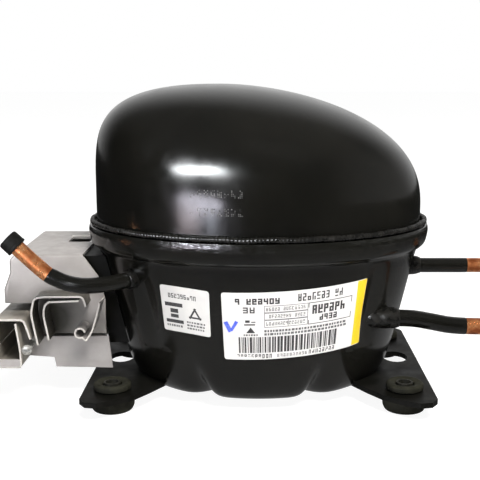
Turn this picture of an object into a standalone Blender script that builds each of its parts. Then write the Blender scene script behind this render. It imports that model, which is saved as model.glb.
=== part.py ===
"""A hermetic reciprocating compressor of the small refrigerator class, standing on its four grommets.

Lengths in this file are millimetres and every helper turns them into Blender's metres with MM. The
origin lies on the floor under the middle of the oval shell, +X runs to the suction and discharge
tubes, -X to the electrical box, -Y to the rating label's side and +Z up.
"""

import math

import bmesh
import bpy
from mathutils import Vector

MM = 0.001
GAP = 0.3

# Shell: an oval pot with a flared rim, and a lopsided dome that sits inside the rim.
WALL = 2.8
SEGMENTS = 48
RIM_TOP = 99.5
BODY_PROFILE = (
    (RIM_TOP, 100.4, 77.2),
    (96.0, 101.0, 77.4),
    (90.0, 99.8, 76.6),
    (87.5, 98.0, 74.8),
    (85.0, 95.0, 71.8),
    (76.0, 92.4, 70.6),
    (58.0, 88.2, 68.8),
    (34.0, 82.5, 65.5),
)
BASE_TOP = 34.0
BASE_BOTTOM = 4.5
BASE_RINGS = (0.985, 0.96, 0.92, 0.86, 0.77, 0.62, 0.42, 0.2)
BASE_POWER = 13.0
GROOVE_POWER = 5.5
GROOVE_ANGLE = math.radians(63)
GROOVE_WIDTH = math.radians(6)
CREASE_ANGLE = math.radians(45)
CREASE_WIDTH = math.radians(5)
CREASE_DEPTH = 2.6

DOME_FOOT = 93.0
DOME_SPRING = 110.0
DOME_TOP = 180.6
DOME_APEX_X = -22.0
DOME_HALF_LENGTH = 96.2
DOME_HALF_DEPTH = 73.6
DOME_LEVELS = (0.0, 0.2, 0.38, 0.54, 0.67, 0.78, 0.87, 0.935, 0.975)
DOME_LEFT_POWERS = (4.9, 0.4)
DOME_RIGHT_POWERS = (2.3, 1 / 1.8)
DOME_DEPTH_POWERS = (2.7, 0.5)
WELD_RADIUS = 1.6
WELD_HALF_LENGTH = 98.6
WELD_HALF_DEPTH = 75.8
WELD_Z = 101.5

# Feet: two plates under the ends of the pot, on the standard 165.1 x 101.6 mm grommet pattern.
GROMMET_X = 165.1 / 2
GROMMET_Y = 101.6 / 2
PLATE_BOTTOM = 8.5
PLATE_TOP = 11.5
PLATE_OUTER_X = 98.4
PLATE_END_Y = 74.0
PLATE_HOLE_RADIUS = 7.2
OVAL_HOLE = (85.5, 8.0, 7.7, 10.5)
GROMMET_BORE = 5.3
GROMMET_TOP_RADIUS = 10.6
GROMMET_TOP_CORNER = 1.0
GROMMET_WAIST = 6.8
GROMMET_FLANGE = 12.4
GROMMET_HEIGHT = 16.0
SLEEVE_INNER = 3.6
SLEEVE_OUTER = 4.9
SLEEVE_LOW = 0.4
SLEEVE_HIGH = 15.8

# Tubes: outer radii, their rubber plugs, their holes in the pot, and the collars brazed round them,
# as (radius beyond the tube's, height).
TUBE_RADIUS = 4.3
DISCHARGE_RADIUS = 4.7
TUBE_WALL = 0.9
PLUG_WALL = 1.3
PLUG_CLEARANCE = 0.35
PLUG_GRIP = 7.6
PLUG_FLOOR = 1.6
PLUG_CORNER = 0.6
PLUG_REACH = 2.0
PLUG_END_X = 150.1
SUCTION_Z = 72.0
DISCHARGE_Y = -40.0
DISCHARGE_ROOT_Z = 50.0
DISCHARGE_END_Z = 45.0
HOLE_CLEARANCE = 0.7
COLLAR_PROFILE = ((0.4, 0.0), (1.4, 0.0), (2.2, -1.0), (2.2, -30.0), (0.4, -30.0))
COLLAR_SIDES = 16

# Electrical box on the left end.
SHEET = 1.2
COVER_FRONT_Y = -30.0
COVER_BACK_Y = 48.0
COVER_TOP = 84.5
TUNNEL_TOP = 56.0
TUNNEL_BOTTOM = 25.0
TUNNEL_BACK_Y = 46.0
STRAP_FRONT_Y = -45.0
COVER_SLOT_LOW = (-117.0, 10.0)
COVER_SLOT_HIGH = (-103.5, 26.0)
BRACKET_FLOOR_LOW = 35.4
BRACKET_FLOOR_HIGH = 36.6
LEAF_SHEET = 1.0
EYE_CENTRE = (-101.0, 42.2)
EYE_RADIUS = 2.8
EYE_START = -60.0
EYE_STEP = -29.0
EYE_POINTS = 11
CLAMP_FRONT_Y = -46.0
LIP_TOP = 27.2
FENCE_WALL = 1.5
FENCE_LOW = (-25.0, 40.0)
FENCE_HIGH = (45.0, 82.8)
FENCE_END_X = -70.0
SKIRT_CORNER = (-88.4, 31.0)
SKIRT_OVERLAP = 0.8
TERMINAL_X = -88.0
TERMINAL_Y = 8.0
TERMINAL_Z = 60.0
HEADER_HOLE_RADIUS = 15.2
PIN_CIRCLE = 7.5
PIN_RADIUS = 1.6
PIN_HOLE_RADIUS = 2.1

# Pump: a vertical motor, a crankshaft and a cylinder across its top.
STATOR_HALF = 49.0
STATOR_CHAMFER = 16.0
STATOR_LOW = 42.0
STATOR_HIGH = 82.0
STATOR_BORE = 30.0
ROTOR_RADIUS = 29.1
SHAFT_RADIUS = 10.0
BEARING_RADIUS = 10.3
WINDING_INNER = 33.0
WINDING_OUTER = 45.5
WINDING_LOW = 26.5
WINDING_HIGH = 97.5
WINDING_CORNER = 3.0
END_RING_INNER = 17.0
END_RING_OUTER = 26.0
END_RING_HEIGHT = 4.0
BOLT_X = 39.0
BOLT_Y = 37.0
CRANK_RADIUS = 7.0
CRANK_PIN_RADIUS = 8.0
SHAFT_LOW = 26.0
WEB_LOW = 126.6
WEB_HIGH = 131.4
WEB_RADIUS = 17.0
CRANK_PIN_TOP = 153.0
OIL_POCKET_RADIUS = 3.1
OIL_POCKET_FLOOR = 148.0
OIL_PLUG_RADIUS = 2.6
OIL_PLUG_LOW = 148.5
OIL_PLUG_HIGH = 153.6
BLOCK_HALF_LENGTH = 47.0
BLOCK_CORNER = 32.0
BLOCK_LOW = 104.0
BLOCK_HIGH = 111.0
HUB_RADIUS = 16.0
HUB_TOP = 125.0
LEG_HALF = 5.5
LEG_X = 41.0
LEG_Y = 39.0
HEAD_HALF_DEPTH = 19.0
YOKE_LOW = 134.5
SLIDE_TOP = 152.0
SLIDE_HALF_WIDTH = 10.0
SLIDE_HALF_DEPTH = 11.0
YOKE_HALF_WIDTH = 15.0
YOKE_HALF_DEPTH = 24.0
CYLINDER_Z = 143.0
BORE_RADIUS = 11.3
PISTON_RADIUS = 11.0
SPRING_LOW = 12.6
SPRING_HIGH = 41.2
SPRING_RADIUS = 5.6
SPRING_WIRE = 0.75
SPRING_TURNS = 3.5


def clear_scene():
    for obj in list(bpy.data.objects):
        bpy.data.objects.remove(obj)


def collection(name):
    made = bpy.data.collections.new(name)
    bpy.context.scene.collection.children.link(made)
    return made


def material(name, colour, roughness, metallic=0.0):
    made = bpy.data.materials.new(name)
    made.use_nodes = True
    shader = made.node_tree.nodes["Principled BSDF"]
    shader.inputs["Base Color"].default_value = (*colour, 1.0)
    shader.inputs["Roughness"].default_value = roughness
    shader.inputs["Metallic"].default_value = metallic
    return made


clear_scene()
PARTS = collection("hermetic_compressor")
CUTTERS = collection("cutters")
BLACK_PAINT = material("black_paint", (0.012, 0.012, 0.010), 0.25)
WELD_METAL = material("painted_weld", (0.02, 0.02, 0.017), 0.4)
ZINC = material("zinc_sheet", (0.52, 0.5, 0.49), 0.35, 0.9)
COPPER = material("copper", (0.72, 0.32, 0.16), 0.3, 1.0)
RUBBER = material("rubber", (0.03, 0.03, 0.025), 0.8)
STEEL = material("steel", (0.5, 0.5, 0.5), 0.3, 1.0)
CAST_IRON = material("cast_iron", (0.18, 0.18, 0.18), 0.6, 0.8)
LAMINATION = material("lamination", (0.3, 0.3, 0.32), 0.45, 0.9)
ENAMELLED_COPPER = material("enamelled_copper", (0.55, 0.22, 0.08), 0.4, 0.6)
ALUMINIUM = material("aluminium", (0.7, 0.7, 0.72), 0.35, 1.0)
MUFFLER_PLASTIC = material("muffler_plastic", (0.75, 0.72, 0.62), 0.5)
RELAY_PLASTIC = material("relay_plastic", (0.03, 0.03, 0.035), 0.45)
GASKET_FIBRE = material("gasket_fibre", (0.3, 0.26, 0.2), 0.8)


def place(name, data, finish, home=None):
    """A new object of this data, in the parts' collection unless another is given."""
    made = bpy.data.objects.new(name, data)
    (home or PARTS).objects.link(made)
    if finish:
        data.materials.append(finish)
    if home is CUTTERS:
        made.hide_render = True
        made.display_type = "WIRE"
    return made


def mesh_from(name, points, faces):
    mesh = bpy.data.meshes.new(name)
    mesh.from_pydata([Vector(point) * MM for point in points], [], faces)
    mesh.update()
    return mesh


def smooth(obj, angle=35):
    obj.data.shade_smooth()
    obj.data.set_sharp_from_angle(angle=math.radians(angle))


def lathe(name, profile, centre, finish, axis=(0, 0, 1), steps=20, home=None):
    """A turned solid. The profile's (radius, height) points run down its outer side."""
    mesh = bpy.data.meshes.new(name)
    count = len(profile)
    ring = profile[0][0] > 0
    edges = [(i, (i + 1) % count) for i in range(count if ring else count - 1)]
    mesh.from_pydata([Vector((r, 0, h)) * MM for r, h in profile], edges, [])
    turned = place(name, mesh, finish, home)
    turned.location = Vector(centre) * MM
    turned.rotation_mode = "QUATERNION"
    turned.rotation_quaternion = Vector(axis).to_track_quat("Z", "Y")
    screw = turned.modifiers.new("turn", "SCREW")
    screw.steps = steps
    screw.render_steps = steps
    screw.use_merge_vertices = True
    screw.merge_threshold = 1e-5
    return turned


def rod(name, radius, low, high, centre, finish, axis=(0, 0, 1), steps=20, home=None):
    """A plain cylinder whose ends lie at low and high along its axis, counted from its centre."""
    profile = ((0, high), (radius, high), (radius, low), (0, low))
    return lathe(name, profile, centre, finish, axis, steps, home)


def ring(name, inner, outer, low, high, centre, finish, axis=(0, 0, 1), steps=20):
    profile = ((inner, high), (outer, high), (outer, low), (inner, low))
    return lathe(name, profile, centre, finish, axis, steps)


def block(name, low, high, finish, bevel=0.0, home=None):
    bpy.ops.mesh.primitive_cube_add(size=1)
    made = bpy.context.object
    for holder in list(made.users_collection):
        holder.objects.unlink(made)
    mesh = made.data
    bpy.data.objects.remove(made)
    mesh.name = name
    low, high = Vector(low), Vector(high)
    for vertex in mesh.vertices:
        for axis in range(3):
            vertex.co[axis] = (low[axis] if vertex.co[axis] < 0 else high[axis]) * MM
    made = place(name, mesh, finish, home)
    if bevel:
        rounding = made.modifiers.new("rounding", "BEVEL")
        rounding.width = bevel * MM
        rounding.segments = 1
    return made


def plate(name, outlines, low, high, finish, home=None):
    """A flat piece cut from sheet: closed XY outlines, the first its edge and the rest its holes."""
    curve = bpy.data.curves.new(name, "CURVE")
    curve.dimensions = "2D"
    curve.fill_mode = "BOTH"
    curve.extrude = (high - low) / 2 * MM
    for outline in outlines:
        spline = curve.splines.new("POLY")
        spline.points.add(len(outline) - 1)
        for point, (x, y) in zip(spline.points, outline):
            point.co = (x * MM, y * MM, 0, 1)
        spline.use_cyclic_u = True
    made = place(name, curve, finish, home)
    made.location.z = (low + high) / 2 * MM
    return made


def tube(name, route, radius, finish, closed=False, sides=10, wall=0.0):
    """A round bar along a route of points, or a pipe if it is given a wall."""
    curve = bpy.data.curves.new(name, "CURVE")
    curve.dimensions = "3D"
    curve.bevel_depth = radius * MM
    curve.bevel_resolution = sides // 2 - 2
    curve.use_fill_caps = not closed and not wall
    spline = curve.splines.new("POLY")
    spline.points.add(len(route) - 1)
    for point, place_at in zip(spline.points, route):
        point.co = (*(Vector(place_at) * MM), 1)
    spline.use_cyclic_u = closed
    made = place(name, curve, finish)
    if wall:
        inside = made.modifiers.new("wall", "SOLIDIFY")
        inside.thickness = wall * MM
        inside.offset = -1
    return made


def as_mesh(obj):
    """The same object as a mesh with welded caps, so that a Boolean can use it."""
    bpy.context.view_layer.update()
    graph = bpy.context.evaluated_depsgraph_get()
    mesh = bpy.data.meshes.new_from_object(obj.evaluated_get(graph))
    welding = bmesh.new()
    welding.from_mesh(mesh)
    bmesh.ops.remove_doubles(welding, verts=welding.verts, dist=1e-6)
    bmesh.ops.recalc_face_normals(welding, faces=welding.faces)
    welding.to_mesh(mesh)
    welding.free()
    name, world, home = obj.name, obj.matrix_world.copy(), obj.users_collection[0]
    bpy.data.objects.remove(obj)
    made = bpy.data.objects.new(name, mesh)
    home.objects.link(made)
    made.matrix_world = world
    if home is CUTTERS:
        made.hide_render = True
        made.display_type = "WIRE"
    return made


def boolean(obj, tool, operation="DIFFERENCE"):
    cut = obj.modifiers.new(tool.name, "BOOLEAN")
    cut.operation = operation
    cut.object = tool
    cut.solver = "EXACT"


def rounded(route, radius, steps=3):
    """The route with each inner corner replaced by a smooth bend of about this radius."""
    points = [Vector(route[0])]
    for before, corner, after in zip(route, route[1:], route[2:]):
        before, corner, after = Vector(before), Vector(corner), Vector(after)
        arm_in = (before - corner).normalized()
        arm_out = (after - corner).normalized()
        reach = min(radius, (before - corner).length * 0.45, (after - corner).length * 0.45)
        start = corner + arm_in * reach
        end = corner + arm_out * reach
        for step in range(steps + 1):
            part = step / steps
            points.append(
                start * (1 - part) ** 2 + corner * 2 * part * (1 - part) + end * part**2
            )
    points.append(Vector(route[-1]))
    return points


def smooth_route(route, per_span=3):
    """A Catmull-Rom curve through the route's points."""
    points = [Vector(point) for point in route]
    points = [points[0] * 2 - points[1], *points, points[-1] * 2 - points[-2]]
    found = []
    for a, b, c, d in zip(points, points[1:], points[2:], points[3:]):
        for step in range(per_span):
            t = step / per_span
            found.append(
                0.5
                * (
                    b * 2
                    + (c - a) * t
                    + (a * 2 - b * 5 + c * 4 - d) * t**2
                    + (b * 3 - a - c * 3 + d) * t**3
                )
            )
    return [*found, points[-2]]


def strap(name, route, front, back, thickness, finish):
    """A bent strip of sheet: an XZ route swept along Y and thickened to both sides."""
    points = []
    for x, z in route:
        points += [(x, front, z), (x, back, z)]
    faces = [(2 * i, 2 * i + 2, 2 * i + 3, 2 * i + 1) for i in range(len(route) - 1)]
    made = place(name, mesh_from(name, points, faces), finish)
    sheet = made.modifiers.new("sheet", "SOLIDIFY")
    sheet.thickness = thickness * MM
    sheet.offset = 0
    sheet.use_even_offset = True
    return made


def flat_route(route, radius, steps=3):
    return [(point.x, point.y) for point in rounded([(*p, 0) for p in route], radius, steps)]


def fold(angle):
    """The angle folded into the first quarter, so that the shell is the same in all four."""
    return math.atan2(abs(math.sin(angle)), abs(math.cos(angle)))


def bump(value, centre, width):
    return math.exp(-(((value - centre) / width) ** 2))


def body_ring(z, half_length, half_depth, swell=0.0):
    """A level of the pot: an ellipse with a shallow upright crease at each of its four corners."""
    fade = bump(z, 58.0, 22.0)
    points = []
    for i in range(SEGMENTS):
        angle = math.tau * i / SEGMENTS
        dent = CREASE_DEPTH * fade * bump(fold(angle), CREASE_ANGLE, CREASE_WIDTH)
        x = (half_length + swell - dent) * math.cos(angle)
        y = (half_depth + swell - dent) * math.sin(angle)
        points.append((x, y, z))
    return points


def base_ring(share, swell=0.0):
    """A level of the pot's floor: nearly flat, with grooves that part the spring pockets from it."""
    _, half_length, half_depth = BODY_PROFILE[-1]
    points = []
    for i in range(SEGMENTS):
        angle = math.tau * i / SEGMENTS
        groove = bump(fold(angle), GROOVE_ANGLE, GROOVE_WIDTH)
        power = BASE_POWER + (GROOVE_POWER - BASE_POWER) * groove
        z = BASE_BOTTOM - swell + (BASE_TOP - BASE_BOTTOM + swell) * share**power
        x = (half_length + swell) * share * math.cos(angle)
        y = (half_depth + swell) * share * math.sin(angle)
        points.append((x, y, z))
    return points


def dome_ring(level):
    """A level of the dome, from 0 at its springing line to 1 at its top."""

    def shrink(powers):
        return (1 - level ** powers[0]) ** powers[1]

    left = (DOME_HALF_LENGTH + DOME_APEX_X) * shrink(DOME_LEFT_POWERS)
    right = (DOME_HALF_LENGTH - DOME_APEX_X) * shrink(DOME_RIGHT_POWERS)
    depth = DOME_HALF_DEPTH * shrink(DOME_DEPTH_POWERS)
    middle = DOME_APEX_X + (right - left) / 2
    z = DOME_SPRING + (DOME_TOP - DOME_SPRING) * level
    half = (left + right) / 2
    angles = [math.tau * i / SEGMENTS for i in range(SEGMENTS)]
    return [(middle + half * math.cos(a), depth * math.sin(a), z) for a in angles]


def loft(name, rings, tip, finish, upward, home=None, capped=False):
    """A skin over rings of equal count, closed by a fan to the tip, its faces pointing out."""
    points = [point for level in rings for point in level] + [tip]
    faces = []
    for level in range(len(rings) - 1):
        for i in range(SEGMENTS):
            j = (i + 1) % SEGMENTS
            a, b = level * SEGMENTS, (level + 1) * SEGMENTS
            faces.append((a + i, a + j, b + j, b + i))
    last = (len(rings) - 1) * SEGMENTS
    for i in range(SEGMENTS):
        faces.append((last + i, last + (i + 1) % SEGMENTS, len(points) - 1))
    if capped:
        faces.append(tuple(reversed(range(SEGMENTS))))
    if not upward:
        faces = [tuple(reversed(face)) for face in faces]
    return place(name, mesh_from(name, points, faces), finish, home)


def thicken(skin):
    wall = skin.modifiers.new("wall", "SOLIDIFY")
    wall.thickness = WALL * MM
    wall.offset = -1


def body_rings(swell=0.0):
    rings = [body_ring(z, a, b, swell) for z, a, b in BODY_PROFILE]
    return rings + [base_ring(share, swell) for share in BASE_RINGS]


def shell_envelope():
    """The pot's outer form, a clearance larger, which trims whatever is fixed to the pot."""
    tip = (0, 0, BASE_BOTTOM - GAP - 0.15)
    return loft("shell_envelope", body_rings(GAP + 0.15), tip, None, False, CUTTERS, True)


SUCTION_ROUTE = ((83, 0, SUCTION_Z), (100, 0, SUCTION_Z), (PLUG_END_X - PLUG_REACH, 0, SUCTION_Z))
DISCHARGE_ROUTE = (
    (62.6, DISCHARGE_Y, DISCHARGE_ROOT_Z),
    (76, DISCHARGE_Y, DISCHARGE_ROOT_Z),
    (88, DISCHARGE_Y, 49.6),
    (98, DISCHARGE_Y, 47.9),
    (108, DISCHARGE_Y, 46.0),
    (118, DISCHARGE_Y, 45.2),
    (130, DISCHARGE_Y, DISCHARGE_END_Z),
    (PLUG_END_X - PLUG_REACH, DISCHARGE_Y, DISCHARGE_END_Z),
)
PROCESS_ROUTE = (
    (-64, -36, 74.0),
    (-71, -44, 73.6),
    (-80, -51, 73.0),
    (-89, -55.2, 72.6),
    (-97.5, -57, 73.0),
    (-105.0, -57, 74.6),
    (-111.5, -57, 77.4),
    (-117.5, -57, 81.4),
    (-134.8, -57, 97.9),
)


def make_shell():
    body = loft("housing_body", body_rings(), (0, 0, BASE_BOTTOM), BLACK_PAINT, False)
    thicken(body)
    smooth(body)
    start, end = Vector(PROCESS_ROUTE[0]), Vector(PROCESS_ROUTE[1])
    small = TUBE_RADIUS + HOLE_CLEARANCE
    holes = (
        ("suction_hole", small, -14, 14, (90, 0, SUCTION_Z), (1, 0, 0)),
        (
            "discharge_hole",
            DISCHARGE_RADIUS + HOLE_CLEARANCE,
            -13,
            14,
            (70, DISCHARGE_Y, DISCHARGE_ROOT_Z),
            (1, 0, 0),
        ),
        ("process_hole", small, -9, 16, start, (end - start).normalized()),
        ("header_hole", HEADER_HOLE_RADIUS, -16, 16, (TERMINAL_X, TERMINAL_Y, TERMINAL_Z), (1, 0, 0)),
    )
    for name, radius, low, high, centre, axis in holes:
        boolean(body, rod(name, radius, low, high, centre, None, axis, home=CUTTERS))
    rings = [
        [(x, y, DOME_FOOT) for x, y, _ in dome_ring(0.0)],
        *[dome_ring(level) for level in DOME_LEVELS],
    ]
    cover = loft("housing_cover", rings, (DOME_APEX_X, 0, DOME_TOP), BLACK_PAINT, True)
    thicken(cover)
    smooth(cover)
    angles = [math.tau * i / SEGMENTS for i in range(SEGMENTS)]
    seam = [
        (WELD_HALF_LENGTH * math.cos(a), WELD_HALF_DEPTH * math.sin(a), WELD_Z) for a in angles
    ]
    tube("seam_weld", seam, WELD_RADIUS, WELD_METAL, closed=True, sides=8)


def ellipse(x, y, half_x, half_y, count=16, phase=0.0):
    angles = [math.tau * (i + phase) / count for i in range(count)]
    return [(x + half_x * math.cos(a), y + half_y * math.sin(a)) for a in angles]


def make_feet(envelope):
    quarter = (
        (52.0, 0.0),
        (52.0, 34.0),
        (61.5, 50.0),
        (69.0, 61.0),
        (81.0, 70.5),
        (88.0, PLATE_END_Y),
        (94.5, PLATE_END_Y - 1.2),
        (PLATE_OUTER_X, PLATE_END_Y - 7),
        (PLATE_OUTER_X, 0.0),
    )
    for side, name in ((-1, "left"), (1, "right")):
        half = [(side * x, -y) for x, y in quarter[1:-1]]
        outline = half + [(x, -y) for x, y in reversed(half)]
        if side > 0:
            outline.reverse()
        x, y, half_x, half_y = OVAL_HOLE
        holes = [ellipse(side * x, y, half_x, half_y)]
        for end in (-1, 1):
            centre = (side * GROMMET_X, end * GROMMET_Y)
            holes.append(ellipse(*centre, PLATE_HOLE_RADIUS, PLATE_HOLE_RADIUS))
        foot = plate(
            f"foot_plate_{name}", [outline, *holes], PLATE_BOTTOM, PLATE_TOP, BLACK_PAINT
        )
        boolean(as_mesh(foot), envelope)
    grommet_profile = (
        (GROMMET_BORE, GROMMET_HEIGHT),
        (GROMMET_TOP_RADIUS - GROMMET_TOP_CORNER, GROMMET_HEIGHT),
        (GROMMET_TOP_RADIUS, GROMMET_HEIGHT - 1.2 * GROMMET_TOP_CORNER),
        (GROMMET_TOP_RADIUS, PLATE_TOP + GAP),
        (GROMMET_WAIST, PLATE_TOP + GAP),
        (GROMMET_WAIST, PLATE_BOTTOM - GAP),
        (GROMMET_FLANGE, PLATE_BOTTOM - GAP),
        (GROMMET_FLANGE, 0.0),
        (GROMMET_BORE, 0.0),
    )
    sleeve = (SLEEVE_INNER, SLEEVE_OUTER, SLEEVE_LOW, SLEEVE_HIGH)
    for x, side in ((-GROMMET_X, "left"), (GROMMET_X, "right")):
        for y, end in ((-GROMMET_Y, "front"), (GROMMET_Y, "back")):
            lathe(f"grommet_{end}_{side}", grommet_profile, (x, y, 0), RUBBER, steps=16)
            ring(f"grommet_sleeve_{end}_{side}", *sleeve, (x, y, 0), STEEL, steps=12)


def make_plug(name, tip, direction, radius, finish=RUBBER):
    """A cap that grips the end of a tube. Its tip is the outer end of its closed face."""
    inner = radius + PLUG_CLEARANCE
    outer = inner + PLUG_WALL
    profile = (
        (0, 0),
        (outer - PLUG_CORNER, 0),
        (outer, -PLUG_CORNER),
        (outer, -PLUG_GRIP),
        (inner, -PLUG_GRIP),
        (inner, -PLUG_FLOOR),
        (0, -PLUG_FLOOR),
    )
    return lathe(name, profile, tip, finish, direction, steps=16)


def make_tubes(envelope):
    tube("suction_tube", SUCTION_ROUTE, TUBE_RADIUS, COPPER, wall=TUBE_WALL)
    discharge, process = smooth_route(DISCHARGE_ROUTE, 2), smooth_route(PROCESS_ROUTE, 2)
    tube("discharge_tube", discharge, DISCHARGE_RADIUS, COPPER, wall=TUBE_WALL)
    tube("process_tube", process, TUBE_RADIUS, COPPER, wall=TUBE_WALL)
    make_plug("suction_plug", (PLUG_END_X, 0, SUCTION_Z), (1, 0, 0), TUBE_RADIUS)
    discharge_end = (PLUG_END_X, DISCHARGE_Y, DISCHARGE_END_Z)
    make_plug("discharge_plug", discharge_end, (1, 0, 0), DISCHARGE_RADIUS)
    start, end = Vector(PROCESS_ROUTE[-2]), Vector(PROCESS_ROUTE[-1])
    outward = (end - start).normalized()
    make_plug("process_plug", end + outward * PLUG_REACH, outward, TUBE_RADIUS)
    process_axis = (Vector(PROCESS_ROUTE[1]) - Vector(PROCESS_ROUTE[0])).normalized()
    discharge_root = (78.0, DISCHARGE_Y, DISCHARGE_ROOT_Z)
    collars = (
        ("suction_collar", (96.0, 0, SUCTION_Z), (1, 0, 0), TUBE_RADIUS),
        ("discharge_collar", discharge_root, (1, 0, 0), DISCHARGE_RADIUS),
        ("process_collar", (-72.6, -45.8, 73.5), process_axis, TUBE_RADIUS),
    )
    for name, tip, axis, radius in collars:
        profile = [(radius + beyond, height) for beyond, height in COLLAR_PROFILE]
        collar = lathe(name, profile, tip, BLACK_PAINT, axis, steps=COLLAR_SIDES)
        boolean(as_mesh(collar), envelope)


def make_terminal():
    centre = (TERMINAL_X, TERMINAL_Y, TERMINAL_Z)
    header_profile = ((0, 3.0), (11.5, 3.0), (14.8, 0.4), (14.8, -3.0), (0, -3.0))
    header = lathe("terminal_header", header_profile, centre, STEEL, (-1, 0, 0), steps=24)
    header = as_mesh(header)
    relay = block("start_relay", (-122, -13, 44), (-101.5, 18.5, 78), RELAY_PLASTIC, 2.0)
    rod("overload_protector", 9.8, -6, 9, (-111, 31, TERMINAL_Z), RELAY_PLASTIC, (-1, 0, 0))
    relay = as_mesh(relay)
    for i, name in enumerate(("common", "run", "start")):
        angle = math.radians(90 + 120 * i)
        y = TERMINAL_Y + PIN_CIRCLE * math.cos(angle)
        z = TERMINAL_Z + PIN_CIRCLE * math.sin(angle)
        root = (TERMINAL_X + 2, y, z)
        rod(f"terminal_pin_{name}", PIN_RADIUS, -20, 8, root, STEEL, (1, 0, 0), steps=12)
        hole = rod(f"pin_hole_{name}", PIN_HOLE_RADIUS, -21, 9, root, None, (1, 0, 0), 12, CUTTERS)
        boolean(header, hole)
        boolean(relay, hole)


def make_fence(envelope):
    """A black sheet collar on the pot's end, which the cover slides over. Its front side runs
    on down as a skirt beside the bracket."""
    (low_y, low_z), (high_y, high_z) = FENCE_LOW, FENCE_HIGH
    far = (FENCE_END_X, high_y, high_z)
    outer = block("terminal_fence", (-101, low_y, low_z), far, BLACK_PAINT)
    skirt_x, skirt_z = SKIRT_CORNER
    skirt_far = (FENCE_END_X, low_y + FENCE_WALL, low_z + SKIRT_OVERLAP)
    skirt = block("fence_skirt", (skirt_x, low_y, skirt_z), skirt_far, None, home=CUTTERS)
    inner_low = (-110, low_y + FENCE_WALL, low_z + FENCE_WALL)
    inner_high = (-60, high_y - FENCE_WALL, high_z - FENCE_WALL)
    inner = block("fence_hollow", inner_low, inner_high, None, home=CUTTERS)
    outer = as_mesh(outer)
    boolean(outer, skirt, "UNION")
    boolean(outer, inner)
    boolean(outer, envelope)


def make_cover():
    """A sheet box, open towards the pot and below, whose front wall carries the straps."""
    outline = (
        (-88.6, 38.0),
        (-88.6, 58.0),
        (-92.3, 72.0),
        (-101.0, COVER_TOP),
        (-140.0, COVER_TOP),
        (-143.0, COVER_TOP - 3),
        (-143.0, 74.0),
        (-146.8, 64.0),
        (-146.8, TUNNEL_TOP),
        (-127.4, TUNNEL_TOP),
        (-127.4, 38.0),
    )
    count = len(outline)
    points = [(x, COVER_FRONT_Y, z) for x, z in outline]
    points += [(x, COVER_BACK_Y, z) for x, z in outline]
    faces = [tuple(range(count)), tuple(reversed(range(count, 2 * count)))]
    faces += [(i + 1, i, count + i, count + i + 1) for i in range(3, 8)]
    cover = place("terminal_cover", mesh_from("terminal_cover", points, faces), ZINC)
    sheet = cover.modifiers.new("sheet", "SOLIDIFY")
    sheet.thickness = SHEET * MM
    sheet.offset = -1
    slot_low, slot_high = (*COVER_SLOT_LOW, COVER_TOP - 6), (*COVER_SLOT_HIGH, COVER_TOP + 6)
    slot = block("cover_slot", slot_low, slot_high, None, home=CUTTERS)
    boolean(cover, slot)


def make_bracket(envelope):
    """The sheet angle under the cover: a front apron, and a floor that meets the pot further back."""
    front = COVER_FRONT_Y - 1.5
    apron = plate(
        "cover_bracket",
        [[(-133, 25), (-119, 24), (-118, 18.2), (-85, 17.6), (-87, 36.6), (-133, 36.6)][::-1]],
        0,
        SHEET,
        ZINC,
    )
    apron.rotation_euler.x = math.radians(90)
    apron.location = (0, (front + SHEET / 2) * MM, 0)
    apron = as_mesh(apron)
    back = TUNNEL_BACK_Y + 1.8
    outline = [(-130, front), (-87, front), (-88.8, -29), (-88.8, -20), (-70, -6), (-70, back)]
    outline.append((-130, back))
    floor_heights = (BRACKET_FLOOR_LOW, BRACKET_FLOOR_HIGH)
    floor = as_mesh(plate("bracket_floor", [outline], *floor_heights, None, CUTTERS))
    wing = block(
        "bracket_wing",
        (-146, back - SHEET, TUNNEL_BOTTOM),
        (-128, back, TUNNEL_TOP - 1),
        None,
        home=CUTTERS,
    )
    boolean(apron, floor, "UNION")
    boolean(apron, wing, "UNION")
    boolean(apron, envelope)


def make_straps():
    inner = flat_route(((-118.7, 38.2), (-121.4, 54), (-119.4, 60.4), (-101, 61)), 3.0)
    strap("inner_strap", inner, STRAP_FRONT_Y, COVER_FRONT_Y - 0.4, SHEET, ZINC)
    outer = flat_route(
        ((-124.8, 35.7), (-128, 54), (-126.0, 62.6), (-121, 63.6), (-98.4, 63.8), (-97, 58)),
        3.4,
    )
    strap("cover_clip", outer, STRAP_FRONT_Y - 1, COVER_FRONT_Y - 2.0, SHEET, ZINC)
    eye_x, eye_z = EYE_CENTRE
    curl = []
    for i in range(EYE_POINTS):
        angle = math.radians(EYE_START + EYE_STEP * i)
        curl.append((eye_x + EYE_RADIUS * math.cos(angle), eye_z + EYE_RADIUS * math.sin(angle)))
    leaf = flat_route(((-89.2, 60), (-91, 53.4), (-94.3, 42.6), (-98, 37.6), curl[0]), 2.6)
    strap("rolled_leaf", leaf + curl[1:], STRAP_FRONT_Y, COVER_FRONT_Y - 0.4, LEAF_SHEET, ZINC)


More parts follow.
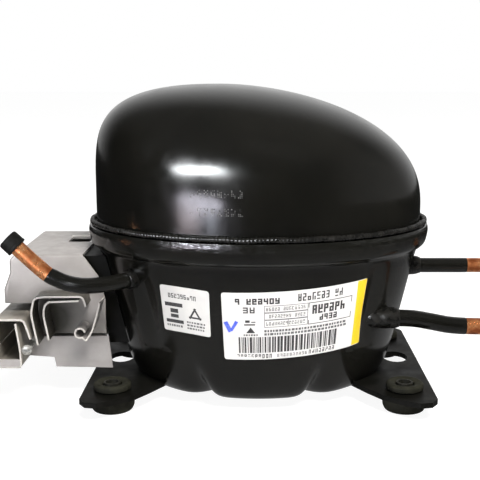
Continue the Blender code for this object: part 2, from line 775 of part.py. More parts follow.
def make_cord_clamp():
    upper = ((-149.5, 33.5), (-149.5, 50.2), (-132.4, 50.2), (-129.8, 42.2), (-129.0, 39.0))
    upper_route, width = flat_route(upper, 2.4), (CLAMP_FRONT_Y, TUNNEL_BACK_Y)
    strap("cord_clamp_upper", upper_route, *width, SHEET, ZINC)
    lower = ((-149.5, 33), (-149.5, 22.6), (-134.8, 22.6), (-134.8, 30.0), (-135.6, 38), (-137, 48))
    jaw = strap("cord_clamp_lower", flat_route(lower, 2.0), *width, SHEET, ZINC)
    lip_low, lip_high = (-149.3, CLAMP_FRONT_Y - 0.3, 22.2), (-135, CLAMP_FRONT_Y + 0.9, LIP_TOP)
    boolean(jaw, block("clamp_lip", lip_low, lip_high, None, home=CUTTERS), "UNION")
    screw_profile = (
        (0, 2.2),
        (2.2, 2.2),
        (3.0, 1.2),
        (3.0, 0),
        (1.5, 0),
        (1.5, -14.5),
        (0, -14.5),
    )
    x, z, slot_half = -131.0, 33.0, 0.5
    head = (x, CLAMP_FRONT_Y, z)
    screw = lathe("cord_clamp_screw", screw_profile, head, STEEL, (0, -1, 0), 16)
    slot_low = (x - 4, CLAMP_FRONT_Y - 3, z - slot_half)
    slot_high = (x + 4, CLAMP_FRONT_Y - 1.2, z + slot_half)
    slot = block("screw_slot", slot_low, slot_high, None, home=CUTTERS)
    boolean(as_mesh(screw), slot)


def make_motor():
    s, c = STATOR_HALF, STATOR_HALF - STATOR_CHAMFER
    outline = [(s, c), (c, s), (-c, s), (-s, c), (-s, -c), (-c, -s), (c, -s), (s, -c)]
    bore = ellipse(0, 0, STATOR_BORE, STATOR_BORE, 24)
    plate("stator_core", [outline, bore], STATOR_LOW, STATOR_HIGH, LAMINATION)
    ends = (("lower", WINDING_LOW, STATOR_LOW), ("upper", STATOR_HIGH, WINDING_HIGH))
    inner, outer, corner = WINDING_INNER, WINDING_OUTER, WINDING_CORNER
    for name, low, high in ends:
        low, high = low + GAP, high - GAP
        profile = (
            (inner + corner, high),
            (outer - corner, high),
            (outer, high - corner),
            (outer, low + corner),
            (outer - corner, low),
            (inner + corner, low),
            (inner, low + corner),
            (inner, high - corner),
        )
        lathe(f"stator_winding_{name}", profile, (0, 0, 0), ENAMELLED_COPPER, steps=24)
    bore = SHAFT_RADIUS + GAP
    top, bottom = STATOR_HIGH + END_RING_HEIGHT, STATOR_LOW - END_RING_HEIGHT
    rotor_profile = (
        (bore, STATOR_HIGH),
        (END_RING_INNER, STATOR_HIGH),
        (END_RING_INNER, top),
        (END_RING_OUTER, top),
        (END_RING_OUTER, STATOR_HIGH),
        (ROTOR_RADIUS, STATOR_HIGH),
        (ROTOR_RADIUS, STATOR_LOW),
        (END_RING_OUTER, STATOR_LOW),
        (END_RING_OUTER, bottom),
        (END_RING_INNER, bottom),
        (END_RING_INNER, STATOR_LOW),
        (bore, STATOR_LOW),
    )
    lathe("rotor", rotor_profile, (0, 0, 0), ALUMINIUM, steps=24)


def make_springs():
    per_turn = 8
    count = int(SPRING_TURNS * per_turn)
    low, high = SPRING_LOW + SPRING_WIRE, SPRING_HIGH - SPRING_WIRE
    for x, side in ((-BOLT_X, "left"), (BOLT_X, "right")):
        for y, end in ((-BOLT_Y, "front"), (BOLT_Y, "back")):
            route = []
            for i in range(count + 1):
                angle = math.tau * i / per_turn
                height = low + (high - low) * i / count
                reach = SPRING_RADIUS
                route.append((x + reach * math.cos(angle), y + reach * math.sin(angle), height))
            tube(f"spring_{end}_{side}", route, SPRING_WIRE, STEEL, sides=6)


def make_crankshaft():
    pin_y, oil_y = CRANK_RADIUS, CRANK_RADIUS / 2
    shaft = rod(
        "crankshaft", SHAFT_RADIUS, SHAFT_LOW, WEB_LOW + 0.1, (0, 0, 0), CAST_IRON, steps=24
    )
    web = rod("crank_web", WEB_RADIUS, WEB_LOW, WEB_HIGH, (0, 0, 0), None, steps=24, home=CUTTERS)
    pin_ends = (WEB_HIGH - 1, CRANK_PIN_TOP)
    pin = rod(
        "crank_pin", CRANK_PIN_RADIUS, *pin_ends, (0, pin_y, 0), None, steps=24, home=CUTTERS
    )
    weight = block(
        "counterweight", (-15, -23, WEB_LOW), (15, -4, WEB_HIGH), None, 4.0, home=CUTTERS
    )
    pocket_ends = (OIL_POCKET_FLOOR, CRANK_PIN_TOP + 1)
    oil_pocket = rod(
        "oil_pocket", OIL_POCKET_RADIUS, *pocket_ends, (0, oil_y, 0), None, steps=12, home=CUTTERS
    )
    shaft = as_mesh(shaft)
    for piece in (web, pin, weight):
        boolean(shaft, piece, "UNION")
    boolean(shaft, oil_pocket)
    ring("thrust_washer", 10.4, 15.5, 125.3, 126.3, (0, 0, 0), STEEL, steps=24)
    pickup = ((0, 25.7), (5.5, 25.7), (4.2, 15.0), (2.0, 12.5), (0, 12.5))
    lathe("oil_pickup", pickup, (0, 0, 0), STEEL, steps=16)
    plug_ends = (OIL_PLUG_LOW, OIL_PLUG_HIGH)
    rod("oil_passage_plug", OIL_PLUG_RADIUS, *plug_ends, (0, oil_y, 0), STEEL, steps=12)


def make_crankcase():
    s, c = BLOCK_HALF_LENGTH, BLOCK_CORNER
    outline = [(s, c), (c, s), (-c, s), (-s, c), (-s, -c), (-c, -s), (c, -s), (s, -c)]
    deck = as_mesh(plate("cylinder_block", [outline], BLOCK_LOW, BLOCK_HIGH, CAST_IRON))
    hub = rod("bearing_hub", HUB_RADIUS, 90, HUB_TOP, (0, 0, 0), None, home=CUTTERS)
    barrel_low, barrel_high = (-54, -HEAD_HALF_DEPTH, 108), (-27, HEAD_HALF_DEPTH, 160)
    barrel = block("barrel", barrel_low, barrel_high, None, 5.0, home=CUTTERS)
    bore = rod(
        "cylinder_bore", BORE_RADIUS, -70, -20, (0, 0, CYLINDER_Z), None, (1, 0, 0), 24, CUTTERS
    )
    boolean(barrel, bore)
    pieces = [hub, barrel]
    for x in (-1, 1):
        for y in (-1, 1):
            low = (x * LEG_X - LEG_HALF, y * LEG_Y - LEG_HALF, STATOR_HIGH + GAP)
            high = (x * LEG_X + LEG_HALF, y * LEG_Y + LEG_HALF, BLOCK_LOW + 2)
            pieces.append(block(f"leg_{x}_{y}", low, high, None, home=CUTTERS))
    for piece in pieces:
        boolean(deck, piece, "UNION")
    bearing = rod("bearing_bore", BEARING_RADIUS, 80, 130, (0, 0, 0), None, steps=24, home=CUTTERS)
    boolean(deck, bearing)


def make_head():
    gasket = block("head_gasket", (-54.9, -17, 126), (-54.3, 17, 159), GASKET_FIBRE)
    bore = bpy.data.objects["cylinder_bore"]
    boolean(gasket, bore)
    valve_plate = block("valve_plate", (-58.2, -18, 125), (-55.2, 18, 160), STEEL, 0.4)
    ports = (("suction_port", 5.0, 3.0), ("discharge_port", -5.0, 2.2))
    for name, y, radius in ports:
        centre = (-57, y, CYLINDER_Z)
        boolean(valve_plate, rod(name, radius, -8, 8, centre, None, (1, 0, 0), 12, CUTTERS))
    head_low, head_high = (-73, -HEAD_HALF_DEPTH, 124), (-58.5, HEAD_HALF_DEPTH, 160)
    head = block("cylinder_head", head_low, head_high, CAST_IRON, 3.0)
    for name, low, high in (("suction", 1.5, 15), ("discharge", -15, -1.5)):
        chamber = block(
            f"{name}_chamber", (-68, low, 132), (-50, high, 154), None, 1.5, home=CUTTERS
        )
        boolean(head, chamber)
    block("suction_muffler", (-52, 26, 113), (-12, 50, 148), MUFFLER_PLASTIC, 5.0)
    muffler = ((0, 133.4), (11, 133.4), (14, 130), (14, 111.4), (0, 111.4))
    lathe("discharge_muffler", muffler, (30, -28, 0), CAST_IRON, steps=16)
    loop = (
        (61.9, -40, 50),
        (57.5, -40, 50.6),
        (55, -41, 56),
        (57, -41, 66),
        (62, -38, 80),
        (70, -30, 98),
        (72, -26, 120),
        (66, -28, 138),
        (50, -30, 149),
        (37, -29, 150),
        (31, -28, 145),
        (30, -28, 133.8),
    )
    tube("discharge_loop", smooth_route(loop, 2), 1.8, COPPER, sides=6)


def make_slide_drive():
    """The block on the crank pin slides across the yoke, and the yoke drives the piston."""
    y = CRANK_RADIUS
    bore_radius = CRANK_PIN_RADIUS + GAP
    pin_bore = rod("pin_bore", bore_radius, 130, 156, (0, y, 0), None, steps=24, home=CUTTERS)
    slide_low = (-SLIDE_HALF_WIDTH, y - SLIDE_HALF_DEPTH, WEB_HIGH + GAP)
    slide_high = (SLIDE_HALF_WIDTH, y + SLIDE_HALF_DEPTH, SLIDE_TOP)
    boolean(block("slide_block", slide_low, slide_high, STEEL, 0.8), pin_bore)
    yoke_low = (-YOKE_HALF_WIDTH, -YOKE_HALF_DEPTH, YOKE_LOW)
    yoke_high = (YOKE_HALF_WIDTH, YOKE_HALF_DEPTH, SLIDE_TOP - 0.5)
    yoke = block("piston_yoke", yoke_low, yoke_high, ALUMINIUM, 2.0)
    slot_half = SLIDE_HALF_WIDTH + 0.4
    slot = block("yoke_slot", (-slot_half, -19, 120), (slot_half, 19, 160), None, home=CUTTERS)
    neck = rod("piston_neck", 6, -30, -13, (0, 0, CYLINDER_Z), None, (1, 0, 0), 16, CUTTERS)
    piston = rod(
        "piston", PISTON_RADIUS, -46, -26, (0, 0, CYLINDER_Z), None, (1, 0, 0), 24, CUTTERS
    )
    boolean(yoke, slot)
    boolean(yoke, neck, "UNION")
    boolean(yoke, piston, "UNION")


make_shell()
ENVELOPE = shell_envelope()
make_feet(ENVELOPE)
make_tubes(ENVELOPE)
make_terminal()
make_fence(ENVELOPE)
make_cover()
make_bracket(ENVELOPE)
make_straps()
make_cord_clamp()
make_motor()
make_springs()
make_crankshaft()
make_crankcase()
make_head()
make_slide_drive()
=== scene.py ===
"""The looks of a small hermetic refrigeration compressor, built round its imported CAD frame.

Sizes are millimetres, which MM turns into Blender's metres. The frame is the CAD model's: the
origin lies on the floor under the middle of the shell, +X runs to the suction and discharge
tubes, -X to the electrical box, -Y to the rating label's side and +Z up. Only the camera and
the lamps are placed in metres.
"""

import math
import random

import bmesh
import bpy
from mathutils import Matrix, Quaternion, Vector, noise


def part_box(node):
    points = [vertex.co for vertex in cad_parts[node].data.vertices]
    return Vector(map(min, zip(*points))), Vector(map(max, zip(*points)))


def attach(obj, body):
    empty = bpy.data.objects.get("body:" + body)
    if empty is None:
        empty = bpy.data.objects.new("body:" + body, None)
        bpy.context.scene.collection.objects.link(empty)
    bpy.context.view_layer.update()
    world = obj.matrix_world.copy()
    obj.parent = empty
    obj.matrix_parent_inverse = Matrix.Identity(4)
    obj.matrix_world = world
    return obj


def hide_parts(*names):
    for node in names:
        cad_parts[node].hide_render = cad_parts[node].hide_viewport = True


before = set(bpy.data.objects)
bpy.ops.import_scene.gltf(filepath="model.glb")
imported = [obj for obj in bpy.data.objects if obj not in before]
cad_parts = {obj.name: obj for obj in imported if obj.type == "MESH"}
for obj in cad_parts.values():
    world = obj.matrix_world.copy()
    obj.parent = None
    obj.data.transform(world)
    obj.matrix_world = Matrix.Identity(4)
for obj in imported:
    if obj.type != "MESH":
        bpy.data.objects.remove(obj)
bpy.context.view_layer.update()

MM = 0.001

# The shell repeats the CAD model's form: levels of the pot as (height, half length, half depth).
WALL = 2.8
AROUND = 240
POT_LEVELS = (
    (99.5, 100.4, 77.2), (96.0, 101.0, 77.4), (90.0, 99.8, 76.6), (87.5, 98.0, 74.8),
    (85.0, 95.0, 71.8), (76.0, 92.4, 70.6), (58.0, 88.2, 68.8), (34.0, 82.5, 65.5),
)
POT_STEPS = 8
RIM_ROWS = 10
BASE_STEPS = 44
BASE_BOTTOM = 4.5
BASE_SPREAD = 0.98
BASE_POWER = 13.0
GROOVE_POWER = 5.5
GROOVE_ANGLE = math.radians(63)
GROOVE_WIDTH = math.radians(6)
CREASE_ANGLE = math.radians(45)
CREASE_WIDTH = math.radians(5)
CREASE_DEPTH = 2.6
CREASE_HEIGHT = 58.0
CREASE_REACH = 22.0

DOME_SKIRT_LEVELS = (93.0, 101.0, 106.0)
DOME_SPRING = 110.0
DOME_TOP = 180.6
DOME_APEX_X = -22.0
DOME_HALF_LENGTH = 96.2
DOME_HALF_DEPTH = 73.6
DOME_STEPS = 60
DOME_LEFT_POWERS = (4.9, 0.4)
DOME_RIGHT_POWERS = (2.3, 1 / 1.8)
DOME_DEPTH_POWERS = (2.7, 0.5)

WELD_RADIUS = 1.6
WELD_HALF_LENGTH = 98.6
WELD_HALF_DEPTH = 75.8
WELD_Z = 101.5
WELD_STEPS = 1800
WELD_RIPPLES = 300
WELD_SIDES = 12

# Holes through the pot: the middle, axis, radius and half length of what cuts each.
SHELL_HOLES = (
    ("suction_hole", (90, 0, 72), (1, 0, 0), 5.0, 14),
    ("discharge_hole", (70, -40, 50), (1, 0, 0), 5.4, 14),
    ("process_hole", (-67, -40, 73.9), (-0.66, -0.75, 0), 5.0, 16),
    ("header_hole", (-88, 8, 60), (1, 0, 0), 15.2, 16),
)

# Punched dots on the dome: two rows of cells, each three dots wide and five high, of which the
# share STAMP_GAPS is left out.
STAMP_LEFT = -35.5
STAMP_TOPS = (127.0, 117.4)
STAMP_CELLS = 8
STAMP_CELL_STEP = 3.6
STAMP_GAPS = 0.45
DOT_PITCH = 0.85
DOT_RADIUS = 0.36
DOT_HEIGHT = 0.16
DOT_SIDES = 8

# Tubes: outer radii, the wall, the thickness of the paint and the routes of their middle lines.
TUBE_RADIUS = 4.3
DISCHARGE_RADIUS = 4.7
TUBE_WALL = 0.9
PIPE_SIDES = 40
PAINT = 0.12
SUCTION_ROUTE = ((83, 0, 72), (100, 0, 72), (148.1, 0, 72))
DISCHARGE_ROUTE = (
    (62.6, -40, 50.0), (76, -40, 50.0), (88, -40, 49.6), (98, -40, 47.9), (108, -40, 46.0),
    (118, -40, 45.2), (130, -40, 45.0), (148.1, -40, 45.0),
)
PROCESS_ROUTE = (
    (-64, -36, 74.0), (-71, -44, 73.6), (-80, -51, 73.0), (-89, -55.2, 72.6),
    (-97.5, -57, 73.0), (-105.0, -57, 74.6), (-111.5, -57, 77.4), (-117.5, -57, 81.4),
    (-134.8, -57, 97.9),
)
# The brazed collar's profile: how far it stands off the tube, and how far along from its tip.
COLLAR_PROFILE = (
    (0.2, 2.0), (0.6, 1.6), (1.0, 0.2), (1.3, -1.6),
    (1.5, -5.0), (1.2, -9.0), (0.6, -18.0), (0.2, -18.0),
)
PLUG_WALL = 1.3
PLUG_CLEARANCE = 0.35
PLUG_GRIP = 7.6
PLUG_END_X = 150.1
# How far the process plug's closed end stands off the end of its tube.
PLUG_STAND = 2

# The four corners that a grommet, its sleeve and a spring stand at.
CORNERS = ("front_left", "front_right", "back_left", "back_right")

# Electrical box: outlines and routes as (x, z).
SHEET = 1.2
LEAF_SHEET = 1.0
CUT_EDGE_ROUNDING = 0.18
COVER_OUTLINE = (
    (-88.6, 38.0), (-88.6, 58.0), (-92.3, 72.0), (-101.0, 84.5), (-140.0, 84.5), (-143.0, 81.5),
    (-143.0, 74.0), (-146.8, 64.0), (-146.8, 56.0), (-127.4, 56.0), (-127.4, 38.0),
)
# The outline's edges that carry a sheet: the rest of it is open.
COVER_SHEETED = range(3, 8)
UPPER_JAW = ((-149.5, 33.5), (-149.5, 50.2), (-132.4, 50.2), (-129.8, 42.2), (-129.0, 39.0))
LOWER_JAW = (
    (-149.5, 33), (-149.5, 22.6), (-134.8, 22.6), (-134.8, 30.0), (-135.6, 38.0), (-137, 48),
)
LOWER_JAW_LIP = ((-149.3, 22.2), (-135, 22.2), (-135, 27.2), (-149.3, 27.2))

# Camera: its place is in metres, and its pitch in radians below level.
CAMERA_PLACE = (0.0, -0.55, 0.1921)
CAMERA_PITCH = 0.188
CAMERA_LENS = 69.54
CAMERA_SHIFT = -0.0385
CAMERA_SENSOR = 36.0

# Labels: left and right x, bottom, height, rise and the two leans.
RATING_LABEL = (-19.1, 56.6, 33.4, 38.6, 4.4, -0.4, 3.4)
SIDE_LABEL = (-52.2, -25.8, 47.4, 26.4, -1.8, -1.9, -1.2)
# The film lies this far off the pot, and its prints lie on the film.
LABEL_LIFT = 0.05
FILM = 0.12
INK = 0.03
LABEL_CORNER = 1.6
STRIPE_WIDTH = 6.2
# How finely a printed shape is cut up to follow the pot: only a tall one is cut into rows.
STRIP_WIDTH = 1.5
TALL_SHAPE = 20
ROW_HEIGHT = 3
NEARLY = 1e-9
# The share of a line's signs that are left out.
SIGN_GAPS = 0.08
# Lines of signs: from u to u, from v to v, then a sign's width, its stroke and the gap.
RATING_UPPER_LINES = (
    (7.0, 30.6, 31.9, 35.3, 2.35, 0.85, 0.6),
    (39.5, 64.5, 32.4, 36.7, 1.8, 0.7, 0.7),
    (47.3, 67.8, 24.2, 29.3, 2.5, 1.0, 0.65),
    (51.5, 63.5, 20.0, 23.4, 2.0, 0.75, 0.6),
)
RATING_LOWER_LINES = (
    (7.2, 27.5, 0.7, 3.1, 1.25, 0.45, 0.7),
    (46.5, 62.0, 0.9, 3.3, 1.25, 0.45, 0.7),
    (11.0, 17.4, 27.0, 30.4, 2.6, 0.7, 0.9),
)

# Studio. Each lamp is a name, place, target and size in metres, power, colour and roll.
WHITE = (1.0, 1.0, 1.0)
FLOOR_HALF = 6000
FLOOR_GLOW = 1.28
FLOOR_GLOW_SHARE = 0.72
WORLD_FILL = 0.24
ROOM_GLOW = 0.012
KEY_LAMP = ("key", (0.3, -0.75, 1.2), (0, 0, 0.09), (0.5, 0.4), 38, (1.0, 0.97, 0.94), 0.0)
WINDOW = ("window", (-0.626, -1.024, 0.5), (-0.031, -0.069, 0.136), (0.72, 0.11))
LOW_WINDOW = ("low_window", (-0.46, -0.74, 0.055), (-0.03, -0.07, 0.115), (0.4, 0.1))
ROSY_GLARE = ("rosy_glare", (-0.53, -0.66, 0.006), (-0.53, -0.66, 1), (0.2, 0.36))
COOL_GLARE = ("cool_glare", (-0.34, -0.73, 0.006), (-0.34, -0.73, 1), (0.09, 0.34))
GLOSS_LAMPS = (
    (*WINDOW, 27, (0.94, 0.98, 1.0), 0.3),
    (*LOW_WINDOW, 2.6, (0.9, 0.88, 1.0), 0.0),
    (*ROSY_GLARE, 2.6, (1.0, 0.86, 0.9), 0.7),
    (*COOL_GLARE, 0.8, (0.8, 0.87, 1.0), 0.45),
)


# ---- geometry helpers


def mesh_of(name, points, faces):
    mesh = bpy.data.meshes.new(name)
    mesh.from_pydata([Vector(point) * MM for point in points], [], faces)
    mesh.update()
    return mesh


def turns(count):
    """The angles that share out a full turn."""
    return [math.tau * i / count for i in range(count)]


def skin(rings, around=True, wrap=False, tip=None, capped=False):
    """The points and faces of a skin over equal rings of points. It faces out if rising rings run
    anticlockwise."""
    count, rows = len(rings[0]), len(rings)
    points = [point for ring in rings for point in ring]
    faces = []
    for row in range(rows if wrap else rows - 1):
        low, high = row * count, (row + 1) % rows * count
        for i in range(count if around else count - 1):
            j = (i + 1) % count
            faces.append((low + i, low + j, high + j, high + i))
    last = (rows - 1) * count
    if tip is not None:
        faces += [(last + i, last + (i + 1) % count, len(points)) for i in range(count)]
        points.append(tip)
    if capped:
        faces.append(tuple(reversed(range(count))))
        if tip is None:
            faces.append(tuple(range(last, last + count)))
    return points, faces


def lofted(name, rings, **how):
    return mesh_of(name, *skin(rings, **how))


def joined(name, parts):
    """One mesh of several parts, each its points and faces."""
    points, faces = [], []
    for more_points, more_faces in parts:
        faces += [tuple(len(points) + i for i in face) for face in more_faces]
        points += more_points
    return mesh_of(name, points, faces)


def cleaned(mesh, merge=1e-6):
    """The same mesh with points that coincide made one and its faces turned outwards."""
    work = bmesh.new()
    work.from_mesh(mesh)
    bmesh.ops.remove_doubles(work, verts=work.verts, dist=merge)
    bmesh.ops.recalc_face_normals(work, faces=work.faces)
    work.to_mesh(mesh)
    work.free()
    return mesh


def placed(name, data):
    made = bpy.data.objects.new(name, data)
    bpy.context.scene.collection.objects.link(made)
    return made


def piece(name, mesh, finishes, body="housing", stands_for=(), angle=40):
    """A new visible piece that rides on a CAD body and stands for the CAD nodes named."""
    made = placed(name, mesh)
    for finish in finishes:
        mesh.materials.append(finish)
    mesh.shade_smooth()
    mesh.set_sharp_from_angle(angle=math.radians(angle))
    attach(made, body)
    if stands_for:
        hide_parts(*stands_for)
    return made


def cutter(mesh):
    """A hidden solid that a Boolean modifier takes away from a piece."""
    made = placed("cut_" + mesh.name, mesh)
    made.hide_render = True
    made.hide_viewport = True
    return made


def cut(obj, tool, solver="EXACT"):
    """Takes a cutter away from a piece."""
    boolean = obj.modifiers.new(tool.name, "BOOLEAN")
    boolean.operation = "DIFFERENCE"
    boolean.object = tool
    boolean.solver = solver


def soften(obj, width, segments=2, angle=35, harden=True):
    """Rounds a piece's sharp edges a little, as pressing, moulding or handling leaves them."""
    bevel = obj.modifiers.new("soft_edges", "BEVEL")
    bevel.width = width * MM
    bevel.segments = segments
    bevel.limit_method = "ANGLE"
    bevel.angle_limit = math.radians(angle)
    bevel.harden_normals = harden


def thicken(obj, wall, rim=0):
    """Gives a skin its wall, inwards. The rim's finish may be another of the piece's."""
    sheet = obj.modifiers.new("wall", "SOLIDIFY")
    sheet.thickness = wall * MM
    sheet.offset = -1
    sheet.material_offset_rim = rim


def bend(before, corner, after, radius, steps):
    """The points of a bend of about this radius, in place of the corner."""
    before, corner, after = Vector(before), Vector(corner), Vector(after)
    reach = min(radius, (before - corner).length * 0.45, (after - corner).length * 0.45)
    start = corner + (before - corner).normalized() * reach
    end = corner + (after - corner).normalized() * reach
    parts = [step / steps for step in range(steps + 1)]
    return [start * (1 - p) ** 2 + corner * 2 * p * (1 - p) + end * p**2 for p in parts]


def rounded(route, radius, steps=6, closed=False):
    """The route with its corners bent. Each point is a tuple of two or three numbers."""
    corners = [Vector((*point, 0.0)[:3]) for point in route]
    if closed:
        corners = [corners[-1], *corners, corners[0]]
    points = [] if closed else [corners[0]]
    for before, corner, after in zip(corners, corners[1:], corners[2:]):
        points += bend(before, corner, after, radius, steps)
    if not closed:
        points.append(corners[-1])
    return [point[: len(route[0])] for point in points]


def smooth_route(route, per_span=6):
    """A Catmull-Rom curve through the route's points."""
    points = [Vector(point) for point in route]
    points = [points[0] * 2 - points[1], *points, points[-1] * 2 - points[-2]]
    found = []
    for a, b, c, d in zip(points, points[1:], points[2:], points[3:]):
        for step in range(per_span):
            t = step / per_span
            straight = b * 2 + (c - a) * t
            curved = (a * 2 - b * 5 + c * 4 - d) * t**2 + (b * 3 - a - c * 3 + d) * t**3
            found.append((straight + curved) / 2)
    return [*found, points[-2]]


def evenly(route, step):
    """Points along the route about one step apart."""
    found = [Vector(route[0])]
    for start, end in zip(route, route[1:]):
        start, end = Vector(start), Vector(end)
        count = max(1, round((end - start).length / step))
        found += [start.lerp(end, i / count) for i in range(1, count + 1)]
    return found


def turned(name, profile, centre, axis, steps, wobble=None):
    """A turned solid. Its (radius, height) profile is a loop, or starts and ends on the axis."""
    turn = Vector(axis).to_track_quat("Z", "Y").to_matrix()
    rings = []
    for angle in turns(steps):
        ring = []
        for radius, height in profile:
            reach = radius + (wobble(angle, height) if wobble and radius else 0.0)
            spoke = Vector((reach * math.cos(angle), reach * math.sin(angle), height))
            ring.append(turn @ spoke + Vector(centre))
        rings.append(ring)
    return cleaned(lofted(name, rings, around=profile[0][0] > 0, wrap=True))


def circles(route, radius, sides):
    """A circle round each point of the route, each turned as little as possible from the last.
    The radius is a function of a route point's number and the angle."""
    rings = []
    side = None
    for i, point in enumerate(route):
        ahead = route[min(i + 1, len(route) - 1)] - route[max(i - 1, 0)]
        ahead.normalize()
        if side is None:
            side = ahead.orthogonal().normalized()
        side = (side - ahead * side.dot(ahead)).normalized()
        up = ahead.cross(side)
        rings.append(
            [point + (side * math.cos(a) + up * math.sin(a)) * radius(i, a) for a in turns(sides)]
        )
    return rings


def pipe(name, route, outer, inner):
    """A pipe along a route of evenly spaced points, with its cut ends faced off."""
    outside = circles(route, outer, PIPE_SIDES)
    inside = circles(route, lambda i, a: inner, PIPE_SIDES)
    return cleaned(lofted(name, [*outside, *reversed(inside)], wrap=True))


def slab(name, outline, low, high, flat="XY"):
    """A flat solid: an outline in one plane, between two heights along the third axis."""
    order = {"XY": (0, 1, 2), "XZ": (0, 2, 1)}[flat]
    rings = []
    for height in (low, high):
        values = [(a, b, height) for a, b in outline]
        rings.append([tuple(value[i] for i in order) for value in values])
    return cleaned(lofted(name, rings, capped=True))


def bent_sheet(name, route, front, back, thickness):
    """A strip of sheet bent along an XZ route. Its cut edges take the second finish."""
    route = [Vector(point) for point in route]
    rings = []
    for i, point in enumerate(route):
        ahead = (route[min(i + 1, len(route) - 1)] - route[max(i - 1, 0)]).normalized()
        across = Vector((-ahead.y, ahead.x)) * thickness / 2
        over, under = point + across, point - across
        ring = ((over, front), (over, back), (under, back), (under, front))
        rings.append([(spot.x, y, spot.y) for spot, y in ring])
    mesh = lofted(name, rings, capped=True)
    first_end = 4 * (len(route) - 1)
    for face in mesh.polygons:
        face.material_index = int(face.index >= first_end or face.index % 2)
    return cleaned(mesh)


# ---- materials


class Nodes:
    """A shader's node tree, with short ways to add nodes and join them."""

    def __init__(self, tree):
        self.tree = tree

    def node(self, kind, inputs=(), **settings):
        made = self.tree.nodes.new(kind)
        for setting, value in settings.items():
            setattr(made, setting, value)
        for socket, value in dict(inputs).items():
            self.feed(made.inputs[socket], value)
        return made

    def feed(self, socket, value):
        """Links a socket to another, or gives it a plain number, vector or colour."""
        if isinstance(value, bpy.types.NodeSocket):
            self.tree.links.new(value, socket)
        elif socket.type == "RGBA":
            socket.default_value = (*value, 1.0)
        else:
            socket.default_value = value

    def combine(self, operation, a, b):
        return self.node("ShaderNodeMath", {0: a, 1: b}, operation=operation).outputs[0]

    def ramp(self, value, start, end, low, high, **settings):
        """A value that goes from low to high as the one given goes from start to end."""
        inputs = {"Value": value, "From Min": start, "From Max": end, "To Min": low, "To Max": high}
        return self.node("ShaderNodeMapRange", inputs, **settings).outputs[0]


class Finish(Nodes):
    """One procedural material: a Principled shader fed by patterns in the piece's coordinates."""

    def __init__(self, name, metallic=0.0, specular=0.5):
        self.material = bpy.data.materials.new(name)
        self.material.use_nodes = True
        super().__init__(self.material.node_tree)
        self.shader = self.tree.nodes["Principled BSDF"]
        self.into("Metallic", metallic)
        self.into("Specular IOR Level", specular)
        self.place = self.node("ShaderNodeTexCoord").outputs["Object"]

    def noise(self, size, detail, stretch=(1, 1, 1)):
        """Soft noise whose blotches are about this many millimetres across."""
        place = self.node("ShaderNodeMapping", {"Vector": self.place, "Scale": stretch})
        settings = {"Vector": place.outputs[0], "Scale": 1 / (size * MM), "Detail": detail}
        return self.node("ShaderNodeTexNoise", settings).outputs["Fac"]

    def specks(self, size, share):
        """Small round spots, scattered so that about this share of the cells holds one."""
        settings = {"Vector": self.place, "Scale": 1 / (size * MM)}
        cells = self.node("ShaderNodeTexVoronoi", settings).outputs
        near = self.ramp(cells["Distance"], 0.1, 0.22, 1.0, 0.0)
        return self.combine(
            "MULTIPLY", near, self.combine("GREATER_THAN", cells["Color"], 1 - share)
        )

    def bands(self, size, distortion=0.0):
        """Level bands of this pitch, one above another."""
        settings = {
            "Vector": self.place,
            "Scale": math.tau / 20 / (size * MM),
            "Distortion": distortion,
            "Detail": 2.0,
        }
        return self.node("ShaderNodeTexWave", settings, bands_direction="Z").outputs["Fac"]

    def between(self, factor, low, high, start=0.3, end=0.7):
        """A colour, or a value, that goes from low to high as the factor goes from start to end."""
        if isinstance(low, (int, float)):
            return self.ramp(factor, start, end, low, high)
        share = self.ramp(factor, start, end, 0.0, 1.0)
        mix = self.node("ShaderNodeMix", {"Factor": share}, data_type="RGBA")
        colours = [socket for socket in mix.inputs if socket.type == "RGBA"]
        for socket, value in zip(colours, (low, high)):
            self.feed(socket, value)
        return next(socket for socket in mix.outputs if socket.type == "RGBA")

    def into(self, socket, value):
        self.feed(self.shader.inputs[socket], value)

    def bump(self, *layers):
        """Relief from (height, depth in millimetres) layers, laid over one another."""
        normal = None
        for height, depth in layers:
            inputs = {"Height": height, "Distance": depth * MM, "Strength": 1.0}
            if normal:
                inputs["Normal"] = normal
            normal = self.node("ShaderNodeBump", inputs).outputs["Normal"]
        self.into("Normal", normal)


def noisy(name, tone, dull, metallic=0.0, specular=0.5, relief=None):
    """A material whose colour, roughness and relief follow noise.

    tone is (noise, low colour, high colour), and dull is (noise, low roughness, high roughness)
    or a plain roughness. Both may end with the two levels of the noise between which they change.
    relief is (noise, depth in millimetres). A noise is (size, detail), and may end with its
    stretch."""
    made = Finish(name, metallic, specular)
    made.into("Base Color", made.between(made.noise(*tone[0]), *tone[1:]))
    if isinstance(dull, tuple):
        dull = made.between(made.noise(*dull[0]), *dull[1:])
    made.into("Roughness", dull)
    if relief:
        made.bump((made.noise(*relief[0]), relief[1]))
    return made.material


def make_black_paint():
    """Stoved black paint: glossy, with a faint orange peel, some dust grains and a dull bloom."""
    paint = Finish("black_paint", specular=0.4)
    bloom = paint.between(paint.noise(38, 4), (0.0038, 0.0038, 0.0032), (0.0068, 0.0066, 0.0054))
    paint.into("Base Color", bloom)
    paint.into("Roughness", paint.between(paint.noise(16, 5), 0.12, 0.24))
    paint.bump((paint.noise(2.6, 2), 0.012), (paint.specks(9, 0.12), 0.05))
    return paint.material


